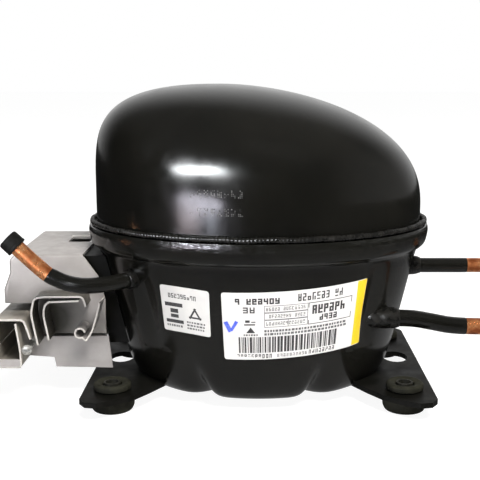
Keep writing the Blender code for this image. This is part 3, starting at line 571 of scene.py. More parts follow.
def make_rim_paint():
    """The paint on the shell's rim: wet-looking, and ruffled by the spatter under it."""
    paint = Finish("rim_paint")
    paint.into("Base Color", (0.006, 0.006, 0.005))
    ruffle = paint.noise(3.2, 3, (1, 1, 2.5))
    paint.into("Roughness", paint.between(paint.noise(9, 3), 0.08, 0.26))
    paint.into("Specular IOR Level", paint.between(ruffle, 0.3, 1.0, 0.45, 0.58))
    paint.bump((ruffle, 0.16), (paint.noise(0.9, 2), 0.02))
    return paint.material


def make_zinc(name, light=(0.35, 0.334, 0.325), dark=(0.28, 0.265, 0.256), painted_shade=None):
    """Galvanised sheet: satin, with a faint rolling grain and soft blotches, and round a given spot
    a painted shade: a dark brown patch that stands for the shadow that a strap casts."""
    zinc = Finish(name, metallic=0.2)
    blotch = zinc.noise(14, 3)
    sheet = zinc.between(blotch, dark, light)
    # Painted shade: round the given spot the sheet turns brown-black, for a strap's shadow.
    if painted_shade:
        centre, core, reach = painted_shade
        spot = {0: zinc.place, 1: [value * MM for value in centre]}
        away = zinc.node("ShaderNodeVectorMath", spot, operation="DISTANCE").outputs["Value"]
        film = zinc.between(blotch, (0.028, 0.027, 0.022), (0.06, 0.057, 0.047))
        sheet = zinc.between(away, film, sheet, core * MM, reach * MM)
    zinc.into("Base Color", sheet)
    zinc.into("Roughness", zinc.between(zinc.noise(5, 5, (1, 1, 6)), 0.34, 0.55))
    zinc.bump((zinc.noise(1.4, 3, (1, 1, 0.12)), 0.012), (zinc.noise(22, 1), 0.12))
    return zinc.material


def make_copper():
    """Bare drawn copper tube, with an uneven tarnish and brighter rubbed streaks along it."""
    copper = Finish("copper", metallic=0.75)
    tarnish = copper.noise(5, 4, (0.6, 1.4, 0.6))
    streaks = copper.noise(2.6, 4)
    rubbed = copper.between(streaks, (0.66, 0.25, 0.095), (0.76, 0.44, 0.22), 0.5, 0.7)
    metal = copper.between(tarnish, (0.27, 0.075, 0.022), rubbed, 0.36, 0.58)
    copper.into("Base Color", metal)
    copper.into("Roughness", copper.between(tarnish, 0.45, 0.18, 0.4, 0.65))
    return copper.material


def make_lamination():
    """A stack of half-millimetre electrical steel sheets, blued in places by heat."""
    stack = Finish("lamination", metallic=0.85)
    stack.into("Roughness", 0.45)
    sheets = stack.bands(0.5)
    blued = stack.between(stack.noise(12, 4), (0.2, 0.21, 0.25), (0.34, 0.33, 0.33))
    stack.into("Base Color", stack.between(sheets, (0.07, 0.07, 0.08), blued, 0.0, 0.35))
    stack.bump((sheets, 0.06))
    return stack.material


def make_winding():
    """Lacquered copper wire, wound close and laced."""
    wire = Finish("winding", metallic=0.7)
    wire.into("Roughness", 0.34)
    turns = wire.bands(0.9, 0.6)
    lacquer = wire.between(wire.noise(6, 4), (0.42, 0.15, 0.05), (0.6, 0.27, 0.12))
    wire.into("Base Color", wire.between(turns, (0.12, 0.04, 0.015), lacquer, 0.0, 0.5))
    wire.bump((turns, 0.25))
    return wire.material


def make_plastic(name, dark, light, rough):
    """Moulded plastic with a spark-eroded texture."""
    dull = ((3, 4), rough - 0.08, rough + 0.1)
    return noisy(name, ((20, 3), dark, light), dull, relief=((0.5, 2), 0.025))


def make_ink(name, dark, light, rough=0.5):
    """Printed or written ink, its colour slightly uneven."""
    return noisy(name, ((0.9, 4), dark, light), ((2, 3), rough - 0.1, rough + 0.1))


BLACK_PAINT = make_black_paint()
RIM_PAINT = make_rim_paint()

# The same paint over the seam bead: thinner, with dull scale showing through in places.
SCALE = (5, 5)
WELD_PAINT = noisy(
    "weld_paint", (SCALE, (0.0045, 0.0045, 0.004), (0.016, 0.015, 0.013), 0.45, 0.8),
    (SCALE, 0.14, 0.42), specular=0.42, relief=((1.1, 4), 0.12),
)

# The paint on the punched dots: near-black, and lighter grey in patches.
DOT_PATCHES = (3, 4)
DOT_PAINT = noisy(
    "dot_paint", (DOT_PATCHES, (0.008, 0.008, 0.007), (0.16, 0.16, 0.16), 0.35, 0.65),
    (DOT_PATCHES, 0.2, 0.45),
)

# Black paint on the flat feet, a little rougher, and scuffed where they were handled.
SCUFF = (9, 6)
FOOT_PAINT = noisy(
    "foot_paint", (SCUFF, (0.0035, 0.0035, 0.0028), (0.0085, 0.008, 0.007), 0.45, 0.8),
    (SCUFF, 0.42, 0.6), specular=0.07, relief=((1.8, 3), 0.02),
)

ZINC = make_zinc("zinc_sheet")
# The cover's zinc, with painted shade darkening it round the spot that the strap shades.
COVER_ZINC_PAINTED_SHADE = make_zinc("cover_zinc_painted_shade", painted_shade=((-118, -30, 47), 7, 23))
# Painted shade: a near-black copy of the zinc for the straps, whose faces lie in shade.
STRAP_ZINC_PAINTED_SHADE = make_zinc("strap_zinc_painted_shade", (0.075, 0.07, 0.058), (0.045, 0.042, 0.034))
# Painted shade: a slightly darker, warmer copy of the zinc for the cord clamp at the box's far end.
JAW_ZINC_PAINTED_SHADE = make_zinc("jaw_zinc_painted_shade", (0.34, 0.315, 0.275), (0.26, 0.24, 0.205))

# The sheared edge of the sheet, bare and scored across by the shear; its lighter colour is painted
# highlight, for the glint along the cut edges.
SCORE = (0.5, 3, (1, 4, 1))
EDGE_WITH_PAINTED_HIGHLIGHT = noisy(
    "cut_edge_painted_highlight", (SCORE, (0.42, 0.4, 0.37), (0.58, 0.565, 0.53)), 0.36, metallic=0.2,
    relief=(SCORE, 0.03),
)

COPPER = make_copper()

# Moulded rubber: matte olive-black with a chalky bloom and a fine pebble.
RUBBER = noisy(
    "rubber", ((6, 5), (0.011, 0.011, 0.008), (0.022, 0.022, 0.016)), ((2, 4), 0.6, 0.85),
    specular=0.07, relief=((0.6, 3), 0.05),
)

# Rubber of the tube plugs: black, with a fine pebble.
PLUG_RUBBER = noisy(
    "plug_rubber", ((2.5, 4), (0.004, 0.004, 0.0036), (0.009, 0.009, 0.0085)), 0.65,
    specular=0.12, relief=((0.5, 2), 0.06),
)

# Machined steel with fine turning lines and a light film of oil.
LINES = (1.2, 4, (1, 1, 5))
STEEL = noisy(
    "steel", (LINES, (0.4, 0.4, 0.4), (0.6, 0.6, 0.6)), ((3, 4), 0.2, 0.42), metallic=1.0,
    relief=(LINES, 0.015),
)

# Zinc-plated screw steel, slightly yellowed, with grime in its low places.
GRIME = (1.1, 5)
SCREW = noisy(
    "plated_screw", (GRIME, (0.12, 0.12, 0.11), (0.4, 0.4, 0.38), 0.3, 0.6), 0.4, metallic=0.3,
    relief=(GRIME, 0.03),
)

# Blackened steel of the grommets' sleeves, dusty with the rubber's bloom.
WEAR = (1.6, 5)
DARK_STEEL = noisy(
    "dark_steel", (WEAR, (0.01, 0.01, 0.0075), (0.026, 0.025, 0.02), 0.4, 0.85), (WEAR, 0.7, 0.5),
    specular=0.12, relief=(WEAR, 0.03),
)

# Grey cast iron: a sandy skin with darker pits.
GRAIN = (1.5, 6)
CAST_IRON = noisy(
    "cast_iron", (GRAIN, (0.09, 0.088, 0.085), (0.23, 0.225, 0.22)), ((4, 4), 0.45, 0.7),
    metallic=0.7, relief=(GRAIN, 0.12),
)

LAMINATION = make_lamination()
WINDING = make_winding()

# Die-cast aluminium with a slightly cloudy skin and flow marks.
FLOW = (6, 5, (1, 1, 3))
ALUMINIUM = noisy(
    "aluminium", (FLOW, (0.54, 0.54, 0.56), (0.72, 0.72, 0.74)), (FLOW, 0.28, 0.48),
    metallic=0.95, relief=((1.2, 4), 0.03),
)

MUFFLER_PLASTIC = make_plastic("muffler_plastic", (0.62, 0.59, 0.5), (0.74, 0.71, 0.62), 0.5)
RELAY_PLASTIC = make_plastic("relay_plastic", (0.02, 0.02, 0.022), (0.045, 0.045, 0.05), 0.42)

# Pressed gasket fibre, speckled and matte.
GASKET_FIBRE = noisy(
    "gasket_fibre", ((0.8, 6), (0.2, 0.17, 0.13), (0.38, 0.33, 0.26)), 0.85,
    relief=((0.5, 4), 0.08),
)

# White polyester label film with a soft gloss, slightly uneven from what lies under it.
LABEL_FILM = noisy(
    "label_film", ((11, 4), (0.58, 0.58, 0.59), (0.65, 0.65, 0.645)), ((4, 3), 0.28, 0.44),
    specular=0.3, relief=((5, 2), 0.03),
)

PRINT_INK = make_ink("print_ink", (0.012, 0.012, 0.013), (0.045, 0.045, 0.05))
FAINT_INK = make_ink("faint_ink", (0.05, 0.05, 0.055), (0.14, 0.14, 0.15))
YELLOW_INK = make_ink("yellow_ink", (0.74, 0.48, 0.003), (0.8, 0.54, 0.005))
PEN_INK = make_ink("pen_ink", (0.03, 0.06, 0.55), (0.1, 0.16, 0.8), 0.4)


# ---- shell


def fold(angle):
    """The angle folded into the first quarter, so that the shell is the same in all four."""
    return math.atan2(abs(math.sin(angle)), abs(math.cos(angle)))


def bump_at(value, centre, width):
    return math.exp(-(((value - centre) / width) ** 2))


POT_PROFILE = smooth_route(POT_LEVELS, POT_STEPS)


def pot_axes(z):
    """The pot's half length and half depth at a height. They stay the same under its last level."""
    z = max(z, POT_PROFILE[-1].x)
    for high, low in zip(POT_PROFILE, POT_PROFILE[1:]):
        if low.x <= z <= high.x:
            share = (z - low.x) / (high.x - low.x)
            return low.lerp(high, share).yz
    raise ValueError(f"the pot has no level at {z}")


def pot_point(angle, z, lift=0.0):
    """A point on the pot's outer face, or that far off it."""
    half_length, half_depth = pot_axes(z)
    fade = bump_at(z, CREASE_HEIGHT, CREASE_REACH)
    dent = CREASE_DEPTH * fade * bump_at(fold(angle), CREASE_ANGLE, CREASE_WIDTH)
    reach = lift - dent
    return Vector(
        ((half_length + reach) * math.cos(angle), (half_depth + reach) * math.sin(angle), z)
    )


def base_ring(share):
    """A level of the pot's floor, with grooves that part the spring pockets from it."""
    top, half_length, half_depth = POT_LEVELS[-1]
    points = []
    for angle in turns(AROUND):
        groove = bump_at(fold(angle), GROOVE_ANGLE, GROOVE_WIDTH)
        power = BASE_POWER + (GROOVE_POWER - BASE_POWER) * groove
        z = BASE_BOTTOM + (top - BASE_BOTTOM) * share**power
        points.append(
            (half_length * share * math.cos(angle), half_depth * share * math.sin(angle), z)
        )
    return points


def dome_level(level):
    """The middle, half length and half depth of the dome at a level from 0 to 1."""

    def shrink(powers):
        return (1 - level ** powers[0]) ** powers[1]

    left = (DOME_HALF_LENGTH + DOME_APEX_X) * shrink(DOME_LEFT_POWERS)
    right = (DOME_HALF_LENGTH - DOME_APEX_X) * shrink(DOME_RIGHT_POWERS)
    depth = DOME_HALF_DEPTH * shrink(DOME_DEPTH_POWERS)
    return DOME_APEX_X + (right - left) / 2, (left + right) / 2, depth


def dome_ring(level):
    middle, half, depth = dome_level(level)
    z = DOME_SPRING + (DOME_TOP - DOME_SPRING) * level
    return [(middle + half * math.cos(a), depth * math.sin(a), z) for a in turns(AROUND)]


def dome_front(x, z):
    """The point of the dome's front face at this x and height."""
    middle, half, depth = dome_level((z - DOME_SPRING) / (DOME_TOP - DOME_SPRING))
    return Vector((x, -depth * math.sqrt(1 - ((x - middle) / half) ** 2), z))


def make_pot():
    rings = [[pot_point(a, level.x) for a in turns(AROUND)] for level in POT_PROFILE]
    shares = [1 - BASE_SPREAD * (i / BASE_STEPS) ** 2 for i in range(1, BASE_STEPS + 1)]
    rings += [base_ring(share) for share in shares]
    mesh = lofted("pot_shell", rings, tip=(0, 0, BASE_BOTTOM))
    mesh.flip_normals()
    finishes = [BLACK_PAINT, RIM_PAINT]
    pot = piece("pot_shell", mesh, finishes, stands_for=["housing_body"])
    for face in mesh.polygons[: RIM_ROWS * AROUND]:
        face.material_index = 1
    thicken(pot, WALL)
    for name, centre, axis, radius, reach in SHELL_HOLES:
        profile = ((0, reach), (radius, reach), (radius, -reach), (0, -reach))
        cut(pot, cutter(turned(name, profile, centre, axis, 48)), "MANIFOLD")


def make_dome():
    levels = [1 - (1 - i / DOME_STEPS) ** 2 for i in range(DOME_STEPS)]
    rings = [[(x, y, z) for x, y, _ in dome_ring(0.0)] for z in DOME_SKIRT_LEVELS]
    rings += [dome_ring(level) for level in levels]
    mesh = lofted("dome_shell", rings, tip=(DOME_APEX_X, 0, DOME_TOP))
    dome = piece("dome_shell", mesh, [BLACK_PAINT], stands_for=["housing_cover"])
    thicken(dome, WALL)


def make_seam_bead():
    """The bead that closes the shell: overlapping ripples, a little uneven in height and width."""
    up = Vector((0, 0, 1))
    rings = []
    for angle in turns(WELD_STEPS):
        around = Vector((math.cos(angle), math.sin(angle), 0))
        ripple = abs(math.sin(WELD_RIPPLES * angle / 2))
        uneven = noise.noise(around * 14) * 0.35 + noise.noise(around * 60) * 0.2
        radius = WELD_RADIUS * (0.86 + 0.16 * ripple + 0.3 * uneven)
        rise = 0.5 * noise.noise(around * 7 + Vector((3, 0, 0)))
        centre = Vector((WELD_HALF_LENGTH * around.x, WELD_HALF_DEPTH * around.y, WELD_Z + rise))
        out = Vector((around.x / WELD_HALF_LENGTH, around.y / WELD_HALF_DEPTH, 0)).normalized()
        rings.append(
            [centre + (out * math.cos(t) + up * math.sin(t)) * radius for t in turns(WELD_SIDES)]
        )
    mesh = cleaned(lofted("seam_bead", rings, wrap=True))
    piece("seam_bead", mesh, [WELD_PAINT], stands_for=["seam_weld"], angle=60)


def punched_dot(x, z):
    """The points and faces of a dot on the dome's front."""
    base = dome_front(x, z)
    across = (dome_front(x + 1, z) - base).normalized()
    up = (dome_front(x, z + 1) - base).normalized()
    out = across.cross(up)
    spokes = [(across * math.cos(t) + up * math.sin(t)) * DOT_RADIUS for t in turns(DOT_SIDES)]
    levels = ((1.0, -0.1), (0.85, DOT_HEIGHT * 0.6), (0.4, DOT_HEIGHT))
    rings = [[base + spoke * share + out * lift for spoke in spokes] for share, lift in levels]
    return skin(rings, tip=base + out * DOT_HEIGHT, capped=True)


def make_stamp():
    """Two rows of punched dots on the dome's front, in cells that spell nothing."""
    rng = random.Random(7)
    dots = []
    for top in STAMP_TOPS:
        for cell in range(STAMP_CELLS):
            for column in range(3):
                for row in range(5):
                    if rng.random() < STAMP_GAPS:
                        continue
                    x = STAMP_LEFT + cell * STAMP_CELL_STEP + column * DOT_PITCH
                    dots.append(punched_dot(x, top - row * DOT_PITCH))
    mesh = joined("punched_dots", dots)
    piece("punched_dots", mesh, [DOT_PAINT], angle=60)


# ---- tubes and plugs


def along(route):
    """The direction in which a route ends."""
    return (Vector(route[-1]) - Vector(route[-2])).normalized()


def make_line(which, route, radius, paint_end):
    """A copper tube whose painted stretch ends where it passes the plane through paint_end."""
    route = evenly(route, 1.0)
    outward = along(route)
    limit = Vector(paint_end).dot(outward)
    painted = [point.dot(outward) < limit for point in route]
    coats = [PAINT if coated else 0.0 for coated in painted]
    name = which + "_line"
    mesh = pipe(name, route, lambda i, a: radius + coats[i], radius - TUBE_WALL)
    finishes = [COPPER, BLACK_PAINT]
    piece(name, mesh, finishes, stands_for=[which + "_tube"], angle=50)
    outside = (len(route) - 1) * PIPE_SIDES
    for face in mesh.polygons[:outside]:
        face.material_index = int(painted[face.index // PIPE_SIDES])


def make_plug(name, node, body, tip, direction, radius):
    """A rubber cap over a tube's end: a soft closed end, a rolled lip and a slight grip line."""
    inner = radius + PLUG_CLEARANCE
    outer = inner + PLUG_WALL
    loop = (
        (0, 0), (outer - 0.9, 0), (outer - 0.15, -0.8), (outer - 0.05, -PLUG_GRIP + 2.2),
        (outer - 0.2, -PLUG_GRIP + 1.8), (outer, -PLUG_GRIP + 1.4), (outer, -PLUG_GRIP),
        (inner, -PLUG_GRIP), (inner, -1.6), (0, -1.6),
    )
    mesh = turned(name, rounded(loop, 0.5, 4), tip, direction, 56)
    piece(name, mesh, [PLUG_RUBBER], body, [node], angle=50)


def make_collar(name, node, tip, axis, radius):
    """The brazed joint where a tube leaves the shell: a lumpy fillet under the paint."""

    def lumps(angle, height):
        spot = Vector((math.cos(angle) * 1.3, math.sin(angle) * 1.3, height * 0.3))
        return 0.3 * noise.noise(spot + Vector(tip) * 0.1)

    loop = [(radius + proud, height) for proud, height in COLLAR_PROFILE]
    profile = evenly(rounded(loop, 0.8, 4, closed=True), 0.6)
    mesh = turned(name, profile, tip, axis, 64, lumps)
    piece(name, mesh, [WELD_PAINT], stands_for=[node], angle=70)


def make_tubes():
    discharge, process = smooth_route(DISCHARGE_ROUTE), smooth_route(PROCESS_ROUTE)
    outward = along(PROCESS_ROUTE)
    end = Vector(PROCESS_ROUTE[-1]) + outward * PLUG_STAND
    root = Vector(PROCESS_ROUTE[1]) - Vector(PROCESS_ROUTE[0])
    make_line("suction", SUCTION_ROUTE, TUBE_RADIUS, (125.3, 0, 72))
    make_line("discharge", discharge, DISCHARGE_RADIUS, (117.8, -40, 45))
    make_line("process", process, TUBE_RADIUS, (-116.4, -57, 76.6))
    right = (1, 0, 0)
    fittings = (
        ("suction", TUBE_RADIUS, ((PLUG_END_X, 0, 72), right), ((96, 0, 72), right)),
        ("discharge", DISCHARGE_RADIUS, ((PLUG_END_X, -40, 45), right), ((78, -40, 50), right)),
        ("process", TUBE_RADIUS, (end, outward), ((-72.6, -45.8, 73.5), root)),
    )
    for name, radius, (tip, axis), _ in fittings:
        make_plug(f"{name}_end_plug", f"{name}_plug", f"{name}_cap", tip, axis, radius)
    for name, radius, _, (tip, axis) in fittings:
        make_collar(f"{name}_braze", f"{name}_collar", tip, axis, radius)


# ---- feet


def make_grommets():
    """Rubber grommets with a dished top, a waist in the foot plate and a rounded lower flange."""
    loop = (
        (5.3, 14.9), (7.6, 15.5), (9.3, 16.0), (10.6, 15.0), (10.6, 11.9), (6.9, 11.9),
        (6.9, 8.1), (12.2, 8.1), (12.4, 6.0), (12.3, 2.6), (11.0, 0.0), (5.3, 0.0),
    )
    profile = rounded(loop, 0.9, 4, closed=True)
    for corner in CORNERS:
        node = f"grommet_{corner}"
        low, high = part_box(node)
        centre = (low + high) / 2 / MM
        foot = (centre.x, centre.y, 0)
        mesh = turned(f"rubber_foot_{corner}", profile, foot, (0, 0, 1), 72)
        piece(mesh.name, mesh, [RUBBER], stands_for=[node], angle=50)


# ---- electrical box


def make_box_cover():
    low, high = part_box("terminal_cover")
    count = len(COVER_OUTLINE)
    points = [(x, y / MM, z) for y in (low.y, high.y) for x, z in COVER_OUTLINE]
    faces = [tuple(range(count)), tuple(reversed(range(count, 2 * count)))]
    faces += [(i + 1, i, count + i, count + i + 1) for i in COVER_SHEETED]
    mesh = mesh_of("box_cover", points, faces)
    finishes = [COVER_ZINC_PAINTED_SHADE, EDGE_WITH_PAINTED_HIGHLIGHT]
    cover = piece(
        "box_cover", mesh, finishes, stands_for=["terminal_cover"], angle=30
    )
    soften(cover, 1.3, 4)
    thicken(cover, SHEET, rim=1)
    slot = rounded(((-117, 10), (-103.5, 10), (-103.5, 26), (-117, 26)), 1.6, 5, closed=True)
    cut(cover, cutter(slab("cover_slot_hole", slot, 78, 90)))
    soften(cover, CUT_EDGE_ROUNDING, angle=50, harden=False)
    left, inner, outer = -118, -103.2, -102.0
    hook = ((left, 26.3), (inner, 26.3), (inner, 9.4), (outer, 9.4), (outer, 27.5), (left, 27.5))
    lip = slab("slot_lip", hook, 84.2, 85.5)
    soften(piece("slot_lip", lip, [EDGE_WITH_PAINTED_HIGHLIGHT]), 0.3, 3)


def make_strip(name, node, route, finish, body="housing", thickness=SHEET):
    """A bent strip of sheet, as wide as the CAD node that it stands for."""
    low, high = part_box(node)
    mesh = bent_sheet(name, route, low.y / MM, high.y / MM, thickness)
    soften(piece(name, mesh, [finish, EDGE_WITH_PAINTED_HIGHLIGHT], body, [node]), CUT_EDGE_ROUNDING)


def make_straps():
    inner = rounded(((-118.7, 38.2), (-121.4, 54), (-119.4, 60.4), (-101, 61)), 3.4)
    make_strip("inner_lip", "inner_strap", inner, STRAP_ZINC_PAINTED_SHADE)
    outer = rounded(
        ((-124.8, 35.7), (-128, 54), (-126.0, 62.6), (-121, 63.6), (-98.4, 63.8), (-97, 58)), 3.6
    )
    make_strip("clip_band", "cover_clip", outer, STRAP_ZINC_PAINTED_SHADE, "retaining_clip")
    eye, eye_radius, steps = Vector((-101.0, 42.2)), 2.8, 43
    curl = []
    for i in range(steps + 1):
        angle = math.radians(-60 - 290 * i / steps)
        curl.append(eye + Vector((math.cos(angle), math.sin(angle))) * eye_radius)
    leaf = rounded(((-89.2, 60), (-91, 53.4), (-94.3, 42.6), (-98, 37.6), curl[0]), 2.8) + curl[1:]
    make_strip("hinge_leaf", "rolled_leaf", leaf, ZINC, thickness=LEAF_SHEET)


def make_cord_clamp():
    make_strip("clamp_top", "cord_clamp_upper", rounded(UPPER_JAW, 2.2), JAW_ZINC_PAINTED_SHADE)
    make_strip("clamp_bottom", "cord_clamp_lower", rounded(LOWER_JAW, 2.2), JAW_ZINC_PAINTED_SHADE)
    lip = slab("clamp_lip", LOWER_JAW_LIP, -46.3, -45.1, "XZ")
    soften(piece("clamp_lip", lip, [ZINC]), CUT_EDGE_ROUNDING)


def make_screw():
    """The clamp's slotted screw, with a domed head and a cut thread."""
    pitch, depth, shank, length, step = 0.8, 0.32, 1.62, 14.5, 0.1

    def thread(angle, height):
        if height > -1.0 or height < 0.2 - length:
            return 0.0
        phase = (height / pitch - angle / math.tau) % 1.0
        return -depth * abs(2 * phase - 1)

    head = rounded(((0, 2.3), (1.8, 2.2), (3.0, 1.3), (3.0, 0), (shank, 0)), 0.5, 4)
    heights = [-step * i for i in range(1, round(length / step))]
    profile = [*head, *[(shank, height) for height in heights], (0, -length)]
    mesh = turned("clamp_screw", profile, (-131.0, -46, 33), (0, -1, 0), 40, thread)
    screw = piece("clamp_screw", mesh, [SCREW], stands_for=["cord_clamp_screw"], angle=45)
    slot = ((-135, 32.5), (-127, 32.5), (-127, 33.5), (-135, 33.5))
    cut(screw, cutter(slab("screw_slot", slot, -49, -47.2, "XZ")))


# ---- labels


class Label:
    """A film label wrapped on the pot. Its own (u, v) run along and up it, in millimetres.
    It rises to the right, and its lower edge runs further along at each end, by its leans."""

    STEPS = 200
    SPARE = 20

    def __init__(self, left_x, right_x, bottom, height, rise, left_lean, right_lean):
        self.bottom, self.height, self.rise = bottom, height, rise
        self.left_lean, self.right_lean = left_lean, right_lean
        level = bottom + height / 2
        start, end = (-math.acos(x / pot_axes(level).x) for x in (left_x, right_x))
        steps = range(-self.SPARE, self.STEPS + self.SPARE + 1)
        self.angles = [start + (end - start) * i / self.STEPS for i in steps]
        spots = [pot_point(a, level) for a in self.angles]
        lengths = [0.0]
        for a, b in zip(spots, spots[1:]):
            lengths.append(lengths[-1] + (b - a).length)
        self.lengths = [length - lengths[self.SPARE] for length in lengths]
        self.width = self.lengths[-1 - self.SPARE]

    def at(self, u, v, lift):
        share = u / self.width
        z = self.bottom + v + self.rise * share**2
        lean = self.left_lean * (1 - share) + self.right_lean * share
        u += lean * (1 - v / self.height)
        for i in range(1, len(self.lengths)):
            if self.lengths[i] >= u:
                break
        share = (u - self.lengths[i - 1]) / (self.lengths[i] - self.lengths[i - 1])
        angle = self.angles[i - 1] + (self.angles[i] - self.angles[i - 1]) * share
        return pot_point(angle, z, lift)

    def patch(self, outline, lift, thickness):
        """A thin printed or cut shape: a convex outline cut into upright strips."""
        us = [u for u, _ in outline]
        low, high = min(us), max(us)
        count = max(1, math.ceil((high - low) / STRIP_WIDTH))
        cuts = sorted({*us, *[low + (high - low) * i / count for i in range(count + 1)]})
        columns = []
        for u in cuts:
            crossings = []
            for (u1, v1), (u2, v2) in zip(outline, [*outline[1:], outline[0]]):
                if min(u1, u2) - NEARLY <= u <= max(u1, u2) + NEARLY:
                    if abs(u2 - u1) < NEARLY:
                        crossings += [v1, v2]
                    else:
                        crossings.append(v1 + (v2 - v1) * (u - u1) / (u2 - u1))
            columns.append((u, min(crossings), max(crossings)))
        tall = any(top - bottom > TALL_SHAPE for _, bottom, top in columns)
        rows = max(1, math.ceil((self.height if tall else 0) / ROW_HEIGHT))
        rings = []
        for u, bottom, top in columns:
            heights = [bottom + (top - bottom) * k / rows for k in range(rows + 1)]
            over = [self.at(u, v, lift + thickness) for v in heights]
            rings.append(over + [self.at(u, v, lift) for v in reversed(heights)])
        return skin(rings, capped=True)

    def printed(self, name, shapes, finish, lift=LABEL_LIFT + FILM, thickness=INK):
        """One piece for all the shapes of one colour."""
        mesh = joined(name, [self.patch(outline, lift, thickness) for outline in shapes])
        piece(name, cleaned(mesh, 1e-7), [finish], angle=50)

    def film(self, name):
        corners = box_shape(0, 0, self.width, self.height)
        outline = [tuple(point) for point in rounded(corners, LABEL_CORNER, 5, closed=True)]
        self.printed(name, [outline], LABEL_FILM, LABEL_LIFT, FILM)


def box_shape(u1, v1, u2, v2):
    return [(u1, v1), (u2, v1), (u2, v2), (u1, v2)]


def frame_shapes(u1, v1, u2, v2, line):
    """The four lines of a printed box."""
    return [
        box_shape(u1, v1, u2, v1 + line),
        box_shape(u1, v2 - line, u2, v2),
        box_shape(u1, v1 + line, u1 + line, v2 - line),
        box_shape(u2 - line, v1 + line, u2, v2 - line),
    ]


def mock_text(rng, u1, u2, v1, v2, widths, gap):
    """A line of plain blocks that stands for a printed line."""
    shapes = []
    u = u1
    while True:
        width = rng.uniform(*widths)
        if u + width > u2:
            return shapes
        shapes.append(box_shape(u, v1, u + width, v2))
        u += width + gap * rng.uniform(0.8, 1.3)


def mock_glyphs(rng, u1, u2, v1, v2, width, stroke, gap):
    """A printed line of made-up signs: each is a random few of the bars of a seven-bar figure."""
    shapes = []
    middle = (v1 + v2) / 2
    for i in range(int((u2 - u1 + gap) / (width + gap))):
        left = u1 + i * (width + gap)
        right = left + width
        if rng.random() < SIGN_GAPS:
            continue
        bars = [
            box_shape(left, v2 - stroke, right, v2),
            box_shape(left, v1, right, v1 + stroke),
            box_shape(left, middle - stroke / 2, right, middle + stroke / 2),
            box_shape(left, middle, left + stroke, v2),
            box_shape(right - stroke, middle, right, v2),
            box_shape(left, v1, left + stroke, middle),
            box_shape(right - stroke, v1, right, middle),
        ]
        shapes += rng.sample(bars, rng.choice((4, 5, 5, 6)))
    return shapes


def mock_bars(rng, u, end, v1, v2):
    """Upright bars of mixed widths that encode nothing."""
    shapes = []
    while u < end:
        bar = rng.choice((0.45, 0.45, 0.9, 1.3))
        shapes.append(box_shape(u, v1, u + bar, v2))
        u += bar + rng.choice((0.35, 0.35, 0.7))
    return shapes


def make_rating_label():
    label = Label(*RATING_LABEL)
    label.film("rating_label")
    right, top = label.width, label.height
    stripe = box_shape(right - STRIPE_WIDTH, 0.3, right - 0.15, top - 0.3)
    label.printed("label_stripe", [stripe], YELLOW_INK)
    rng = random.Random(3)
    bold = frame_shapes(45.2, 18.4, 69.8, 31.0, 0.4)
    for line in RATING_UPPER_LINES:
        bold += mock_glyphs(rng, *line)
    bold += mock_bars(rng, 8.2, 62.0, 3.9, 13.2)
    for line in RATING_LOWER_LINES:
        bold += mock_glyphs(rng, *line)
    for block in ((11.4, 20.0, 17.2, 20.8), (12.0, 21.6, 14.4, 23.0), (15.2, 21.6, 17.4, 22.2)):
        bold.append(box_shape(*block))
    bold.append([(12.4, 15.6), (17.2, 15.6), (14.8, 18.9)])
    label.printed("label_print", bold, PRINT_INK)
    faint = [box_shape(34.4, 18.6, 34.7, 22.9)]
    for v1, v2 in ((27.0, 31.0), (22.9, 27.0), (18.6, 22.9)):
        faint += frame_shapes(22.0, v1, 45.0, v2, 0.3)
    for bottom in (28.0, 23.9, 19.7):
        faint += mock_glyphs(rng, 23.0, 44.0, bottom, bottom + 2.0, 1.0, 0.32, 0.5)
    for bottom in (15.9, 14.0):
        faint += mock_text(rng, 22.0, 69.0, bottom, bottom + 1.3, (0.8, 1.8), 0.45)
    faint += mock_text(rng, 11.0, 19.5, 13.9, 14.9, (0.7, 1.2), 0.4)
    faint += mock_glyphs(rng, 29.0, 45.5, 1.0, 2.8, 1.1, 0.35, 0.6)
    label.printed("label_small_print", faint, FAINT_INK)
    tick = [
        [(0.5, 21.6), (2.6, 22.4), (5.2, 16.8), (3.1, 15.8)],
        [(3.1, 15.8), (5.2, 16.8), (8.4, 21.9), (6.8, 22.8)],
    ]
    label.printed("pen_tick", tick, PEN_INK, LABEL_LIFT + FILM + INK)


def make_side_label():
    label = Label(*SIDE_LABEL)
    label.film("side_label")
    rng = random.Random(11)
    bold = mock_glyphs(rng, 4.8, 22.0, 19.6, 22.2, 1.35, 0.45, 0.5)
    bold += [box_shape(2.2, 14.6, 13.0, 16.8), box_shape(2.2, 5.0, 13.0, 7.0)]
    bold += [box_shape(5.4, 11.0, 10.2, 13.4), box_shape(5.4, 8.2, 10.2, 10.2)]
    triangle = ((16.4, 9.2), (23.6, 9.2), (20.0, 15.4))
    for (u1, v1), (u2, v2) in zip(triangle, [*triangle[1:], triangle[0]]):
        run = Vector((u2 - u1, v2 - v1)).normalized()
        bold.append([(u1, v1), (u2, v2), (u2 - run.y, v2 + run.x), (u1 - run.y, v1 + run.x)])
    label.printed("side_label_print", bold, PRINT_INK)
    faint = mock_text(rng, 2.4, 13.0, 2.8, 4.0, (0.7, 1.4), 0.4)
    for bottom in (2.6, 4.4, 6.2):
        faint += mock_text(rng, 15.0, 26.0, bottom, bottom + 1.0, (0.7, 1.6), 0.5)
    label.printed("side_label_small_print", faint, FAINT_INK)


# ---- CAD nodes that stay


def dress(nodes, finish, rounding=0.0):
    """Gives CAD nodes their finish, smooth shading and, where they show, softer edges."""
    for name in nodes:
        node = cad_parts[name]
        node.data.materials.clear()
        node.data.materials.append(finish)
        node.data.shade_smooth()
        node.data.set_sharp_from_angle(angle=math.radians(35))
        if rounding:
            soften(node, rounding)


